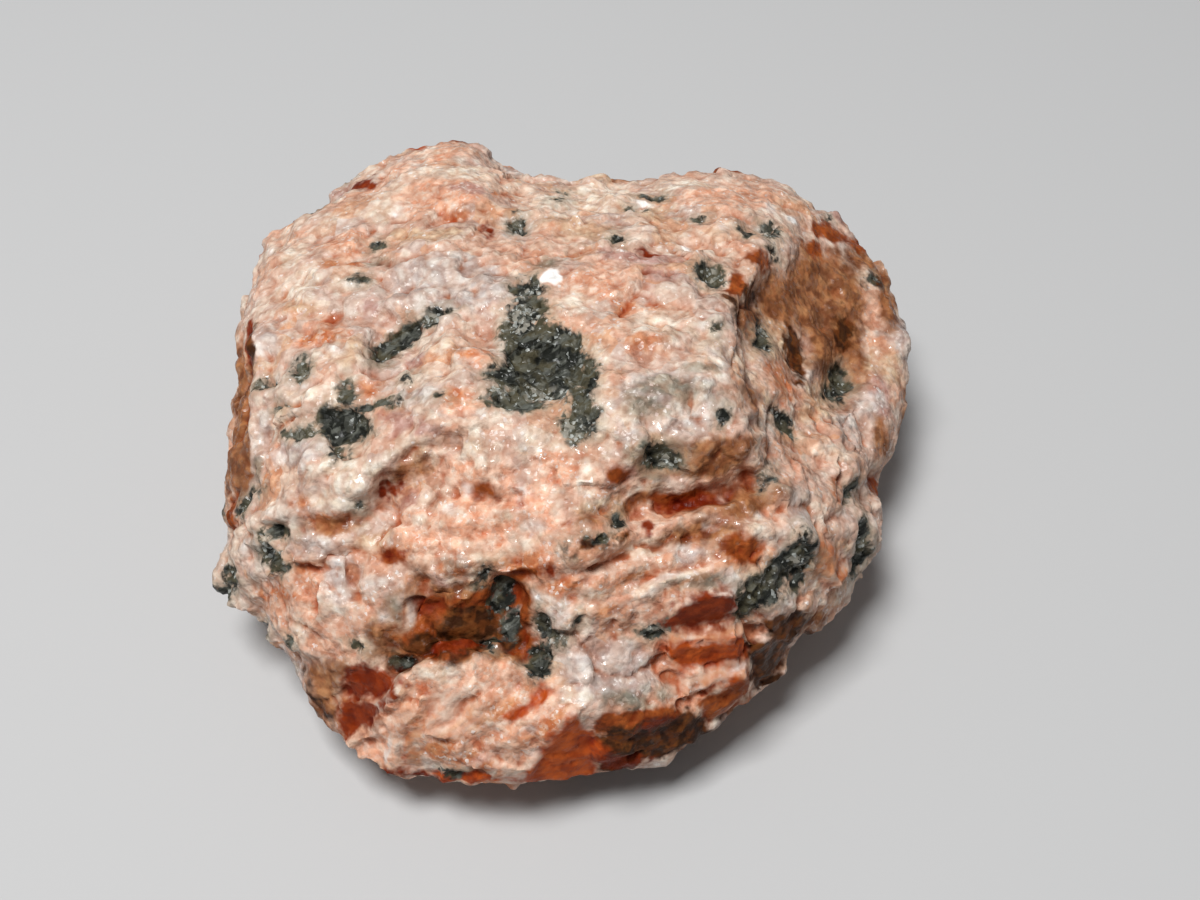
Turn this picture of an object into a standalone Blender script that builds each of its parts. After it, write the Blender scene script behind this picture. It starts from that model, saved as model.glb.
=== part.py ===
"""A rough piece of pink feldspar, broken on all sides, lying on its small flat spot.

The stone is modelled from a coarse cage. Its ridges, ledges and hollows are lines of points
placed by hand. A point of the side that shows from the front and above is written as its place
in a 1200 by 900 picture of the stone, taken from VIEW_RISE above the table, and its height above
the table in millimetres. A point of the back and the underside is written as plain x, y and z in
millimetres. The cage is triangulated, its long edges are split, and the surface is worn,
roughened and flattened where it rests.
"""
import math

import bmesh
import bpy
from mathutils import Vector, noise
from mathutils.geometry import delaunay_2d_cdt

MM = 0.001
NODE_NAME = "feldspar_stone"
COLLECTION_NAME = "rough_feldspar"

# Driving dimensions, in millimetres
PICTURE_SPAN = 56.4
VIEW_DISTANCE = 78.3
VIEW_AIM_HEIGHT = 7.5
SHOWN_EDGE = 1.12
HIDDEN_EDGE = 1.85
SWELL_SIZE = 6.5
SWELL_HEIGHT = 0.9
LUMP_SIZE = 2.9
LUMP_HEIGHT = 0.34
FACET_SIZE = 3.4
FACET_TILT = 0.6
FACET_STEP = 0.18
FACET_LOT = 17.0
GRAIN_SIZE = 1.3
GRAIN_HEIGHT = 0.12
FULL_RELIEF_EDGE = 0.55
WEAR_PASSES = 2
WEAR_FACTOR = 0.25

# The direction that the picture is taken from
VIEW_RISE = math.radians(50.0)
PICTURE_WIDTH_PX = 1200
PICTURE_CENTRE_PX = (600, 450)

# Salmon pink feldspar, seen as one colour
STONE_COLOUR = (0.62, 0.33, 0.24, 1.0)
STONE_ROUGHNESS = 0.6

# The outline of the stone in the picture, clockwise from the upper left corner
OUTLINE = [
    (252, 262, 8.8), (262, 238, 9.1), (285, 222, 9.4), (305, 211, 9.3), (322, 205, 9.2),
    (334, 188, 9.0), (355, 176, 9.1), (385, 160, 9.5), (420, 145, 10.1), (448, 138, 10.6),
    (478, 139, 10.7), (498, 155, 10.4), (522, 167, 9.7), (550, 177, 9.2), (580, 182, 8.9),
    (615, 183, 9.1), (645, 173, 9.8), (680, 172, 10.2), (725, 173, 10.1), (760, 175, 9.7),
    (785, 181, 9.4), (812, 194, 9.1), (838, 211, 8.6), (862, 237, 8.0), (880, 258, 7.6),
    (885, 288, 7.2), (893, 315, 6.8), (908, 341, 6.5), (916, 364, 6.3), (910, 390, 6.0),
    (904, 412, 5.8), (895, 438, 5.6), (882, 462, 5.4), (872, 482, 5.5), (878, 500, 5.6),
    (885, 525, 5.5), (884, 550, 5.2), (874, 573, 4.9), (855, 590, 4.6), (843, 610, 4.4),
    (828, 632, 4.1), (806, 643, 4.3), (793, 658, 4.1), (789, 673, 3.9), (766, 691, 3.9),
    (744, 712, 3.7), (704, 727, 3.4), (694, 744, 2.8), (670, 759, 2.6), (640, 767, 2.6),
    (600, 778, 2.7), (565, 787, 2.9), (530, 787, 3.0), (490, 787, 2.9), (455, 791, 2.8),
    (425, 787, 2.8), (390, 780, 2.9), (364, 768, 3.0), (346, 743, 3.2), (328, 728, 3.3),
    (313, 706, 3.5), (295, 686, 3.7), (276, 660, 3.9), (255, 632, 4.2), (235, 607, 4.5),
    (214, 578, 4.9), (217, 561, 5.3), (231, 541, 5.8), (225, 515, 6.3), (224, 485, 6.8),
    (229, 455, 7.3), (231, 425, 7.8), (240, 393, 8.2), (245, 360, 8.6), (241, 325, 8.8),
    (245, 292, 8.8),
]

# The upper face: its edges on the left, the back and the right, and the steps at its front
LEFT_BROW = [
    (278, 258, 11.3), (263, 290, 11.5), (259, 322, 11.7), (257, 350, 11.8), (254, 378, 11.5),
    (256, 402, 11.3), (255, 428, 10.9), (243, 450, 10.1), (239, 474, 9.4), (243, 498, 8.9),
]
BACK_SHOULDER = [
    (300, 238, 11.4), (340, 210, 11.5), (385, 186, 11.8), (425, 168, 12.1), (460, 160, 12.2),
    (492, 172, 12.1), (522, 188, 11.8), (560, 199, 11.6), (600, 203, 11.6), (642, 195, 11.8),
    (690, 192, 12.0), (740, 194, 11.9), (778, 202, 11.5),
]
RIGHT_BROW = [
    (803, 213, 11.0), (790, 233, 12.3), (772, 252, 13.2), (750, 275, 14.0), (736, 298, 14.5),
    (727, 322, 14.9), (731, 345, 15.1), (733, 370, 15.1), (735, 395, 15.0), (742, 418, 14.6),
    (752, 441, 13.9), (763, 465, 13.1),
]
BROW_FOOT = [
    (822, 236, 10.0), (800, 254, 10.8), (779, 272, 11.4), (763, 294, 11.8), (756, 317, 12.1),
    (758, 341, 12.3), (763, 366, 12.4), (769, 391, 12.4), (774, 414, 12.2), (781, 438, 11.8),
    (787, 462, 11.4), (796, 485, 11.0),
]
STEP_TOP = [
    (446, 428, 14.2), (418, 444, 13.9), (398, 456, 13.6), (380, 470, 13.2), (362, 487, 12.6),
    (345, 503, 12.1), (320, 512, 11.7), (292, 516, 11.3), (264, 521, 10.6), (246, 526, 9.8),
]
STEP_FOOT = [
    (450, 447, 13.2), (430, 467, 12.7), (408, 481, 12.3), (388, 497, 11.8), (370, 511, 11.4),
    (350, 525, 11.1), (322, 527, 10.9), (292, 530, 10.6), (262, 537, 9.9), (242, 546, 8.7),
]
LEDGE_TOP = [
    (446, 428, 14.2), (482, 434, 14.2), (520, 434, 14.5), (560, 441, 14.6), (600, 443, 14.7),
    (640, 441, 14.8), (682, 433, 14.8), (716, 436, 14.4), (752, 441, 13.9),
]
GROOVE = [
    (603, 506, 13.0), (640, 509, 12.5), (680, 504, 12.2), (716, 493, 12.0), (744, 485, 12.1),
    (768, 488, 12.1),
]
UPPER_SPOTS = [
    (320, 262, 12.4), (362, 236, 12.6), (420, 212, 12.9), (472, 204, 12.9), (398, 280, 13.3),
    (450, 258, 13.5), (505, 236, 13.2), (552, 238, 13.1), (600, 236, 13.0), (650, 232, 13.1),
    (700, 236, 13.2), (742, 228, 12.9), (300, 310, 12.6), (345, 305, 13.1), (400, 330, 13.7),
    (460, 305, 14.2), (505, 300, 14.4), (560, 282, 14.4), (620, 287, 14.4), (680, 282, 14.4),
    (712, 268, 14.1), (288, 358, 12.7), (338, 352, 13.5), (382, 372, 13.9), (432, 372, 14.5),
    (482, 350, 14.8), (548, 335, 15.2), (610, 332, 15.2), (668, 335, 15.3), (706, 328, 15.2),
    (287, 410, 12.6), (332, 402, 13.5), (380, 412, 14.1), (430, 408, 14.5), (488, 398, 14.9),
    (545, 392, 15.3), (592, 396, 15.4), (640, 392, 15.5), (690, 388, 15.4), (278, 455, 11.8),
    (325, 452, 13.1), (368, 446, 13.8), (290, 488, 11.7), (332, 482, 12.6), (345, 425, 13.3),
]

# The right side: a shaded basin, the knob beyond it and the lobe in front of it
BASIN_RIM = [
    (836, 226, 9.2), (856, 252, 8.7), (868, 278, 8.2), (876, 305, 7.8), (888, 335, 7.3),
    (897, 360, 7.0), (890, 388, 6.9), (880, 412, 6.9), (872, 440, 6.7),
]
LOBE_RIDGE = [
    (808, 405, 10.4), (830, 420, 9.5), (846, 438, 8.9), (856, 462, 8.3), (862, 490, 7.6),
    (868, 518, 6.9), (867, 545, 6.2), (858, 568, 5.7),
]
RIGHT_SPOTS = [
    (815, 262, 10.0), (838, 280, 9.2), (790, 300, 10.7), (822, 308, 9.3), (850, 315, 8.3),
    (783, 340, 11.1), (812, 348, 9.5), (840, 352, 8.2), (868, 350, 7.6), (792, 380, 11.0),
    (822, 378, 9.0), (842, 388, 8.0), (862, 402, 7.8), (800, 436, 10.8), (822, 460, 10.2),
    (845, 485, 9.0), (812, 500, 10.3), (826, 520, 9.7), (848, 525, 8.4), (838, 552, 8.2),
    (850, 552, 7.5), (838, 582, 6.8),
]

# The front slope: the bright face, the streaked slope and the stair of cleavage steps
FRONT_SPOTS = [
    (485, 470, 13.6), (530, 470, 14.0), (575, 474, 14.1), (618, 474, 13.9), (652, 478, 13.7),
    (692, 470, 13.5), (728, 464, 13.2), (455, 498, 12.7), (500, 505, 13.1), (548, 515, 13.2),
    (590, 530, 12.8), (420, 520, 11.9), (405, 550, 11.2), (450, 545, 11.8), (500, 548, 12.1),
    (548, 556, 12.2), (635, 540, 12.0), (690, 532, 11.9), (738, 522, 11.9), (782, 515, 11.7),
    (600, 572, 11.5), (655, 566, 11.4), (712, 560, 11.3), (760, 555, 11.0), (805, 540, 10.9),
    (370, 545, 10.6), (330, 560, 10.2), (290, 565, 9.4), (262, 572, 8.4), (240, 572, 7.0),
    (380, 580, 10.3), (345, 592, 9.5), (300, 600, 8.5), (262, 605, 6.8), (410, 590, 10.2),
    (545, 588, 11.1), (590, 602, 10.6), (632, 602, 10.5), (775, 582, 9.8), (812, 566, 9.9),
    (790, 602, 8.5), (820, 598, 7.5), (800, 624, 6.6), (780, 640, 6.3), (575, 625, 9.8),
    (615, 632, 9.3),
]
DARK_FACE_TOP = [(642, 620, 10.0), (672, 606, 10.5), (704, 596, 10.8), (736, 597, 10.6)]
FIRST_TREAD = [(650, 634, 8.8), (692, 633, 8.7), (742, 622, 8.9)]
FIRST_RISER = [(668, 643, 8.6), (706, 641, 8.5), (750, 637, 8.5)]
SECOND_TREAD = [(668, 668, 7.0), (708, 667, 6.9), (751, 662, 7.0)]
SECOND_RISER = [(690, 681, 6.8), (722, 676, 6.7), (749, 677, 6.6)]
BLOCK_EDGE = [
    (736, 597, 10.6), (742, 622, 8.9), (750, 637, 8.5), (751, 662, 7.0), (749, 677, 6.6),
    (744, 700, 5.0),
]
BLOCK_FOOT = [(753, 606, 8.9), (758, 630, 7.4), (763, 652, 6.3), (761, 673, 5.5), (757, 692, 4.7)]

# The hollow, the lobe in front of it and the faces beside the lobe
HOLLOW_TOP = [(424, 596, 10.3), (450, 600, 10.5), (478, 600, 10.6), (502, 596, 10.8)]
HOLLOW_FLOOR = [
    (416, 645, 8.2), (438, 640, 7.8), (468, 646, 7.3), (497, 640, 7.5), (524, 645, 8.4),
]
LOBE_CREST = [
    (398, 690, 7.4), (412, 677, 7.6), (429, 667, 7.9), (456, 656, 8.3), (484, 662, 8.2),
    (511, 658, 8.1), (531, 673, 8.0), (548, 684, 7.8),
]
LOBE_LEFT_EDGE = [(398, 690, 7.4), (374, 711, 5.9), (352, 733, 4.4)]
CLEAVAGE_FACE_EDGE = [(347, 678, 6.6), (340, 705, 5.0), (344, 728, 3.9)]
FLUTE = [(462, 742, 5.7), (492, 718, 6.7), (528, 694, 7.4)]
ORANGE_FACE_EDGE = [(574, 712, 7.4), (554, 730, 6.8), (537, 752, 5.7), (520, 774, 4.2)]
UNDER_EDGE = [
    (574, 712, 7.4), (604, 714, 7.1), (645, 712, 6.7), (676, 718, 6.0), (698, 714, 5.5),
]
LOWER_SPOTS = [
    (288, 632, 7.0), (330, 625, 8.3), (372, 622, 9.0), (396, 612, 9.7), (318, 662, 6.2),
    (352, 650, 7.6), (384, 646, 8.2), (402, 660, 7.4), (370, 664, 7.5), (390, 676, 7.4),
    (318, 690, 4.9), (555, 622, 9.9), (552, 655, 8.6), (585, 655, 8.6), (625, 662, 8.2),
    (600, 688, 7.9), (642, 688, 7.6), (668, 690, 6.8), (404, 716, 6.8), (440, 700, 7.4),
    (482, 698, 7.6), (426, 740, 5.9), (490, 742, 6.1), (526, 718, 7.3), (388, 752, 4.6),
    (440, 768, 4.3), (488, 766, 4.5), (572, 742, 5.8), (594, 758, 4.6), (560, 768, 4.2),
    (612, 745, 5.2), (655, 742, 4.4), (722, 700, 5.1),
]

# Pits where dark grains have weathered out: the place in the picture, the half width and half
# height in the picture, and the depth in millimetres
PITS = [
    (548, 352, 62, 44, 0.75), (530, 398, 46, 28, 0.45), (404, 340, 44, 30, 0.65),
    (338, 428, 52, 30, 0.5), (668, 458, 40, 26, 0.5), (706, 284, 26, 24, 0.35),
    (842, 380, 30, 30, 0.45), (796, 575, 40, 34, 0.5), (262, 548, 34, 28, 0.4),
    (484, 320, 30, 40, 0.35), (655, 208, 40, 24, 0.35), (590, 455, 34, 20, 0.3),
    (545, 645, 40, 34, 0.5), (500, 600, 34, 30, 0.35), (770, 420, 30, 30, 0.4),
]

# The back and the underside, in plain x, y and z
BACK_WALL = [
    (-16.2, 13.0, 6.6), (-13.4, 16.8, 7.0), (-10.2, 19.2, 7.2), (-6.8, 20.2, 7.6), (-3.8, 17.9, 6.6),
    (-0.2, 16.6, 6.2), (3.6, 17.8, 7.0), (7.6, 18.2, 6.6), (11.4, 16.4, 6.0),
]
BACK_SHELF = [
    (-13.0, 15.6, 4.6), (-8.6, 18.8, 5.0), (-5.0, 18.2, 4.2), (-1.0, 15.4, 3.6), (3.2, 16.0, 4.2),
    (7.8, 17.2, 3.8),
]
BACK_FOOT = [
    (-12.8, 13.4, 2.4), (-8.8, 15.8, 2.0), (-4.4, 14.6, 1.5), (1.0, 13.0, 1.7), (5.6, 14.6, 1.9),
    (9.8, 13.6, 2.0),
]
SIDE_SPOTS = [
    (-17.4, 9.6, 5.4), (-17.6, 5.6, 5.6), (-17.0, 1.2, 4.6), (-16.6, -2.8, 3.6), (-16.2, 9.2, 2.8),
    (-16.0, 4.4, 1.9), (-14.8, -0.6, 1.6), (-14.2, -5.2, 2.0), (14.2, 11.4, 4.8), (15.2, 7.8, 4.0),
    (14.4, 4.4, 3.3), (13.2, 1.0, 3.8), (12.8, -2.2, 3.1), (12.8, 9.8, 2.1), (13.0, 5.2, 1.6),
    (11.4, 0.6, 1.6), (10.4, -4.0, 1.6),
]
UNDERSIDE_SPOTS = [
    (-10.0, 8.8, 0.8), (-10.6, 3.2, 0.6), (-9.4, -3.0, 0.7), (-4.6, -8.4, 0.9), (1.8, -8.6, 0.9),
    (6.6, -5.4, 0.8), (8.4, 0.8, 0.6), (8.0, 6.8, 0.8), (2.8, 10.2, 0.8), (-4.0, 10.0, 0.7),
    (-11.4, -9.4, 2.0), (-7.0, -11.8, 1.7), (-2.0, -12.2, 1.8), (2.8, -11.2, 1.9), (6.2, -9.2, 2.4),
]
REST_SPOTS = [
    (-4.6, 4.8, -0.3), (2.6, 5.2, -0.3), (3.6, -1.4, -0.3), (-4.2, -2.2, -0.3), (-0.8, 1.6, -0.6),
]

# Two points are one where they are this close, in millimetres
SAME_POINT_DIGITS = 4
SAME_POINT_WITHIN = 1e-5
# The kind of triangulation that keeps only the triangles inside the outline
INSIDE_OUTLINE = 1
CELL_MIDDLE = Vector((0.5, 0.5, 0.5))

VIEW_ACROSS = Vector((1.0, 0.0, 0.0))
VIEW_UP = Vector((0.0, math.sin(VIEW_RISE), math.cos(VIEW_RISE)))
VIEW_BACK = Vector((0.0, -math.cos(VIEW_RISE), math.sin(VIEW_RISE)))
VIEW_AIM = Vector((0.0, 0.0, VIEW_AIM_HEIGHT))
VIEW_EYE = VIEW_AIM + VIEW_BACK * VIEW_DISTANCE


def on_sight_line(place):
    """Returns the point of the stone at a place in the picture and a height above the table."""
    across_px, down_px, height = place
    scale = PICTURE_SPAN / PICTURE_WIDTH_PX
    across = (across_px - PICTURE_CENTRE_PX[0]) * scale
    up = (PICTURE_CENTRE_PX[1] - down_px) * scale
    sight = VIEW_ACROSS * across + VIEW_UP * up - VIEW_BACK * VIEW_DISTANCE
    return VIEW_EYE + sight * ((height - VIEW_EYE.z) / sight.z)


def seen_from_eye(point):
    """Returns where a point shows on the plane through VIEW_AIM, in millimetres."""
    sight = point - VIEW_EYE
    reach = -sight.dot(VIEW_BACK) / VIEW_DISTANCE
    return Vector((sight.dot(VIEW_ACROSS) / reach, sight.dot(VIEW_UP) / reach))


def add_sheet(stone, rim, lines, spots, faces_the_eye):
    """Spans the outline with triangles over the lines and spots, one side of the cage."""
    verts = list(rim)
    vert_at = {}
    kept_edges = []

    def vert_for(point):
        key = point.to_tuple(SAME_POINT_DIGITS)
        if key not in vert_at:
            vert_at[key] = len(verts)
            verts.append(stone.verts.new(point))
        return vert_at[key]

    for line in lines:
        chain = [vert_for(point) for point in line]
        kept_edges += list(zip(chain, chain[1:]))
    for point in spots:
        vert_for(point)
    flat = [seen_from_eye(vert.co) for vert in verts]
    outline = list(range(len(rim)))
    result = delaunay_2d_cdt(flat, kept_edges, [outline], INSIDE_OUTLINE, SAME_POINT_WITHIN)
    triangles, sources = result[2], result[3]
    if len(result[0]) != len(verts):
        raise ValueError("two lines of the cage cross, or a spot lies outside the outline")
    for triangle in triangles:
        corners = [verts[sources[index][0]] for index in triangle]
        if not faces_the_eye:
            corners.reverse()
        stone.faces.new(corners)


def build_cage(stone):
    """Joins the side that shows and the hidden side along the outline, and returns the outline."""
    rim = [stone.verts.new(on_sight_line(place)) for place in OUTLINE]
    front_lines = [
        LEFT_BROW, BACK_SHOULDER, RIGHT_BROW, BROW_FOOT, STEP_TOP, STEP_FOOT, LEDGE_TOP, GROOVE,
        BASIN_RIM, LOBE_RIDGE, DARK_FACE_TOP, FIRST_TREAD, FIRST_RISER, SECOND_TREAD,
        SECOND_RISER, BLOCK_EDGE, BLOCK_FOOT, HOLLOW_TOP, HOLLOW_FLOOR, LOBE_CREST,
        LOBE_LEFT_EDGE, CLEAVAGE_FACE_EDGE, FLUTE, ORANGE_FACE_EDGE, UNDER_EDGE,
    ]
    front_spots = UPPER_SPOTS + RIGHT_SPOTS + FRONT_SPOTS + LOWER_SPOTS
    add_sheet(
        stone,
        rim,
        [[on_sight_line(place) for place in line] for line in front_lines],
        [on_sight_line(place) for place in front_spots],
        faces_the_eye=True,
    )
    add_sheet(
        stone,
        rim,
        [[Vector(point) for point in line] for line in (BACK_WALL, BACK_SHELF, BACK_FOOT)],
        [Vector(point) for point in SIDE_SPOTS + UNDERSIDE_SPOTS + REST_SPOTS],
        faces_the_eye=False,
    )
    return set(rim)


def is_too_long(edge):
    """Says whether an edge is longer than its side of the stone allows."""
    to_eye = VIEW_EYE - edge.verts[0].co
    is_shown = any(face.normal.dot(to_eye) > 0 for face in edge.link_faces)
    return edge.calc_length() > (SHOWN_EDGE if is_shown else HIDDEN_EDGE)


def split_long_edges(stone):
    """Halves the edges that are too long until none is left."""
    stone.normal_update()
    long_edges = [edge for edge in stone.edges if is_too_long(edge)]
    while long_edges:
        bmesh.ops.subdivide_edges(stone, edges=long_edges, cuts=1)
        bmesh.ops.triangulate(stone, faces=stone.faces[:])
        stone.normal_update()
        long_edges = [edge for edge in stone.edges if is_too_long(edge)]


def wear(stone, rim):
    """Rounds the broken edges a little, and leaves the outline where it is."""
    worn = [vert for vert in stone.verts if vert not in rim]
    for _ in range(WEAR_PASSES):
        bmesh.ops.smooth_vert(
            stone,
            verts=worn,
            factor=WEAR_FACTOR,
            use_axis_x=True,
            use_axis_y=True,
            use_axis_z=True,
        )


def press_pits(stone):
    """Presses the pits into the side that shows, deepest at their middles."""
    stone.normal_update()
    scale = PICTURE_SPAN / PICTURE_WIDTH_PX
    for vert in stone.verts:
        sight = (vert.co - VIEW_EYE).normalized()
        if sight.dot(vert.normal) > 0:
            continue
        seen = seen_from_eye(vert.co) / scale
        across_px = PICTURE_CENTRE_PX[0] + seen.x
        down_px = PICTURE_CENTRE_PX[1] - seen.y
        for pit_across, pit_down, half_width, half_height, depth in PITS:
            reach = math.hypot((across_px - pit_across) / half_width, (down_px - pit_down) / half_height)
            if reach < 1:
                vert.co -= vert.normal * depth * (1 - reach * reach)


def facet(point):
    """Returns how far a flat crystal face stands out at a point, tilted its own way in each cell."""
    place = point / FACET_SIZE
    cell = noise.voronoi(place)[1][0]
    lot = noise.cell_vector(cell * FACET_LOT) - CELL_MIDDLE
    return (place - cell).dot(lot) * FACET_TILT + lot.x * FACET_STEP


def roughen(stone):
    """Gives the stone flat faces, lumps and small pits, with broad swells where the cage is coarse.

    Where the triangles are small, the relief is lower, so that none of them turns over.
    """
    stone.normal_update()
    moves = []
    for vert in stone.verts:
        turned_away = max(0.0, (vert.co - VIEW_EYE).normalized().dot(vert.normal))
        room = min(1.0, min(edge.calc_length() for edge in vert.link_edges) / FULL_RELIEF_EDGE)
        swell = noise.noise(vert.co / SWELL_SIZE) * SWELL_HEIGHT * turned_away
        lump = noise.noise(vert.co / LUMP_SIZE) * LUMP_HEIGHT
        grain = noise.noise(vert.co / GRAIN_SIZE) * GRAIN_HEIGHT
        moves.append(vert.normal * (swell + (lump + grain + facet(vert.co)) * room))
    for vert, move in zip(stone.verts, moves):
        vert.co += move


def flatten_rest_spot(stone):
    """Wears flat whatever reaches below the table, which gives the spot that the stone rests on."""
    for vert in stone.verts:
        vert.co.z = max(vert.co.z, 0.0)


def centre_over_origin(stone):
    """Moves the middle of the stone's box over the origin, and returns the move."""
    xs = [vert.co.x for vert in stone.verts]
    ys = [vert.co.y for vert in stone.verts]
    move = Vector((-(min(xs) + max(xs)) / 2, -(min(ys) + max(ys)) / 2, 0.0))
    bmesh.ops.translate(stone, verts=stone.verts[:], vec=move)
    return move


def stone_material():
    """Returns the plain salmon pink of the stone."""
    material = bpy.data.materials.new("feldspar")
    material.use_nodes = True
    shader = material.node_tree.nodes["Principled BSDF"]
    shader.inputs["Base Color"].default_value = STONE_COLOUR
    shader.inputs["Roughness"].default_value = STONE_ROUGHNESS
    shader.inputs["Metallic"].default_value = 0.0
    return material


def build():
    """Clears the scene and models the stone."""
    for old in list(bpy.data.objects):
        bpy.data.objects.remove(old, do_unlink=True)
    collection = bpy.data.collections.new(COLLECTION_NAME)
    bpy.context.scene.collection.children.link(collection)

    stone = bmesh.new()
    rim = build_cage(stone)
    split_long_edges(stone)
    wear(stone, rim)
    press_pits(stone)
    roughen(stone)
    flatten_rest_spot(stone)
    move = centre_over_origin(stone)
    bmesh.ops.scale(stone, verts=stone.verts[:], vec=(MM, MM, MM))

    mesh = bpy.data.meshes.new(NODE_NAME)
    stone.to_mesh(mesh)
    stone.free()
    node = bpy.data.objects.new(NODE_NAME, mesh)
    collection.objects.link(node)
    mesh.materials.append(stone_material())
    print(f"moved by {move.x:.3f}, {move.y:.3f} mm; {len(mesh.polygons)} triangles")
    size = [f"{side / MM:.1f}" for side in node.dimensions]
    print("size in mm:", " x ".join(size))


build()
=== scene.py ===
# %% [markdown]
# # A rough piece of pink feldspar
#
# The stone is a fist of crystals that grew into each other: salmon pink feldspar, cream and grey
# grains between them, and dark grains that have weathered into pits. This lesson takes the plain
# solid of the stone, gives its surface the broken relief of the real one, and then paints the
# minerals with node materials that read their places from the mesh.

# %% The frame
import math
import random

import bpy
import numpy as np
from mathutils import Matrix, Vector, noise
from mathutils.bvhtree import BVHTree


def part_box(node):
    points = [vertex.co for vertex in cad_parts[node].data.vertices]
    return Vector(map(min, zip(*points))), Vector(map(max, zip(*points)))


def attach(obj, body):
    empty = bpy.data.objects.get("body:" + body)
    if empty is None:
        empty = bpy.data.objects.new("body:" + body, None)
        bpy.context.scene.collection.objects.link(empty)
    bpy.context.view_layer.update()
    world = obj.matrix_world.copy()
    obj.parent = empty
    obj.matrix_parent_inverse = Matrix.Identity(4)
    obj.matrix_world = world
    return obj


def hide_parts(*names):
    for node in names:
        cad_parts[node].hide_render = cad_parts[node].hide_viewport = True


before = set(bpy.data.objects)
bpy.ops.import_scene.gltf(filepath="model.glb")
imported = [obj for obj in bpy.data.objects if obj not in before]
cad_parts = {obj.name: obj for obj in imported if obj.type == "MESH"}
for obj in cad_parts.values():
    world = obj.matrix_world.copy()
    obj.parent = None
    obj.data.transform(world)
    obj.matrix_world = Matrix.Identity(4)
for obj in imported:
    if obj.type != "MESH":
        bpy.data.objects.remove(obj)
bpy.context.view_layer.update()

MM = 0.001
NODE_NAME = "feldspar_stone"
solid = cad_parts[NODE_NAME]
box_low, box_high = (np.array(corner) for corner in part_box(NODE_NAME))
print("the solid spans, in mm:", np.round((box_high - box_low) / MM, 1))

# %% [markdown]
# ## The view of the picture
#
# Many details are known only from where they show: a dark grain a little above the middle, a step
# that runs down to the left. They are written as places in a 1200 by 900 picture of the stone. The
# picture is taken from 50 degrees above the table with a 50 mm lens. From the eye, a ray through
# such a place meets the stone where the detail belongs, so the detail sits on the stone from any
# side.

# %% The view of the picture
PICTURE_WIDTH_PX = 1200
PICTURE_HEIGHT_PX = 900
PICTURE_SPAN = 56.4 * MM
PX = PICTURE_SPAN / PICTURE_WIDTH_PX
VIEW_DISTANCE = 78.3 * MM
VIEW_RISE = math.radians(50.0)
LENS_MM = 50.0
SENSOR_MM = 36.0
AIM = Vector((1.123, -2.217, 7.5)) * MM
ACROSS = Vector((1.0, 0.0, 0.0))
UP = Vector((0.0, math.sin(VIEW_RISE), math.cos(VIEW_RISE)))
BACK = Vector((0.0, -math.cos(VIEW_RISE), math.sin(VIEW_RISE)))
EYE = AIM + BACK * VIEW_DISTANCE


def sight_through(across_px, down_px):
    """Returns the direction from the eye through a place in the picture."""
    across = (across_px - PICTURE_WIDTH_PX / 2) * PX
    up = (PICTURE_HEIGHT_PX / 2 - down_px) * PX
    return (ACROSS * across + UP * up - BACK * VIEW_DISTANCE).normalized()


def rising_right(degrees):
    """Returns the direction across the picture that rises to the right by an angle."""
    turn = math.radians(degrees)
    return ACROSS * math.cos(turn) + UP * math.sin(turn)


def places_in_picture(coords):
    """Returns where points show, as an array of places across and down in the picture."""
    sight = coords - np.array(EYE)
    reach = -(sight @ np.array(BACK)) / VIEW_DISTANCE
    across = (sight @ np.array(ACROSS)) / reach / PX + PICTURE_WIDTH_PX / 2
    down = PICTURE_HEIGHT_PX / 2 - (sight @ np.array(UP)) / reach / PX
    return np.stack([across, down], axis=1)


print("the picture spans", round(PICTURE_SPAN / MM, 1), "mm at the stone")

# %% [markdown]
# ## The fine mesh
#
# The solid has about nine thousand triangles, enough for its ledges and hollows but too coarse for
# broken crystal. A copy is merged, because the solid's triangles are loose, and a voxel remesh
# gives it an even skin of small squares, like fresh clay. A short smoothing melts the flat
# triangles of the solid, so that the relief that follows is the only thing that shows. Sculpting
# by hand with dynamic detail would do the same, but it can't be written down.

# %% The fine mesh
VOXEL = 0.15 * MM
MERGE_WITHIN = 0.002 * MM
MELT_PASSES = 8


def pick_only(piece):
    """Selects one piece and makes it active, because an operator acts on all that is selected."""
    bpy.ops.object.select_all(action="DESELECT")
    piece.select_set(True)
    bpy.context.view_layer.objects.active = piece


stone = bpy.data.objects.new("feldspar_surface", solid.data.copy())
bpy.context.scene.collection.objects.link(stone)
stone.data.materials.clear()
pick_only(stone)
bpy.ops.object.mode_set(mode="EDIT")
bpy.ops.mesh.select_all(action="SELECT")
bpy.ops.mesh.remove_doubles(threshold=MERGE_WITHIN)
bpy.ops.object.mode_set(mode="OBJECT")
skin = stone.modifiers.new("skin", "REMESH")
skin.mode = "VOXEL"
skin.voxel_size = VOXEL
melt = stone.modifiers.new("melt", "SMOOTH")
melt.factor = 0.5
melt.iterations = MELT_PASSES
for modifier in ("skin", "melt"):
    bpy.ops.object.modifier_apply(modifier=modifier)
print("fine mesh:", len(stone.data.vertices), "vertices,", len(stone.data.polygons), "squares")

# %% [markdown]
# ## Reading and moving the mesh
#
# The relief is worked out for all vertices at once, as arrays. A few helpers read and write the
# places of the vertices, and give soft steps and soft noise.

# %% Reading and moving the mesh
COUNT = len(stone.data.vertices)


def read_coords(mesh):
    """Returns the places of the vertices as an array."""
    coords = np.empty(COUNT * 3)
    mesh.vertices.foreach_get("co", coords)
    return coords.reshape(COUNT, 3)


def read_normals(mesh):
    """Returns the normals of the vertices as an array."""
    normals = np.empty(COUNT * 3)
    mesh.vertex_normals.foreach_get("vector", normals)
    return normals.reshape(COUNT, 3)


def write_coords(coords):
    """Moves the vertices to new places."""
    stone.data.vertices.foreach_set("co", coords.ravel())
    stone.data.update()


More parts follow.
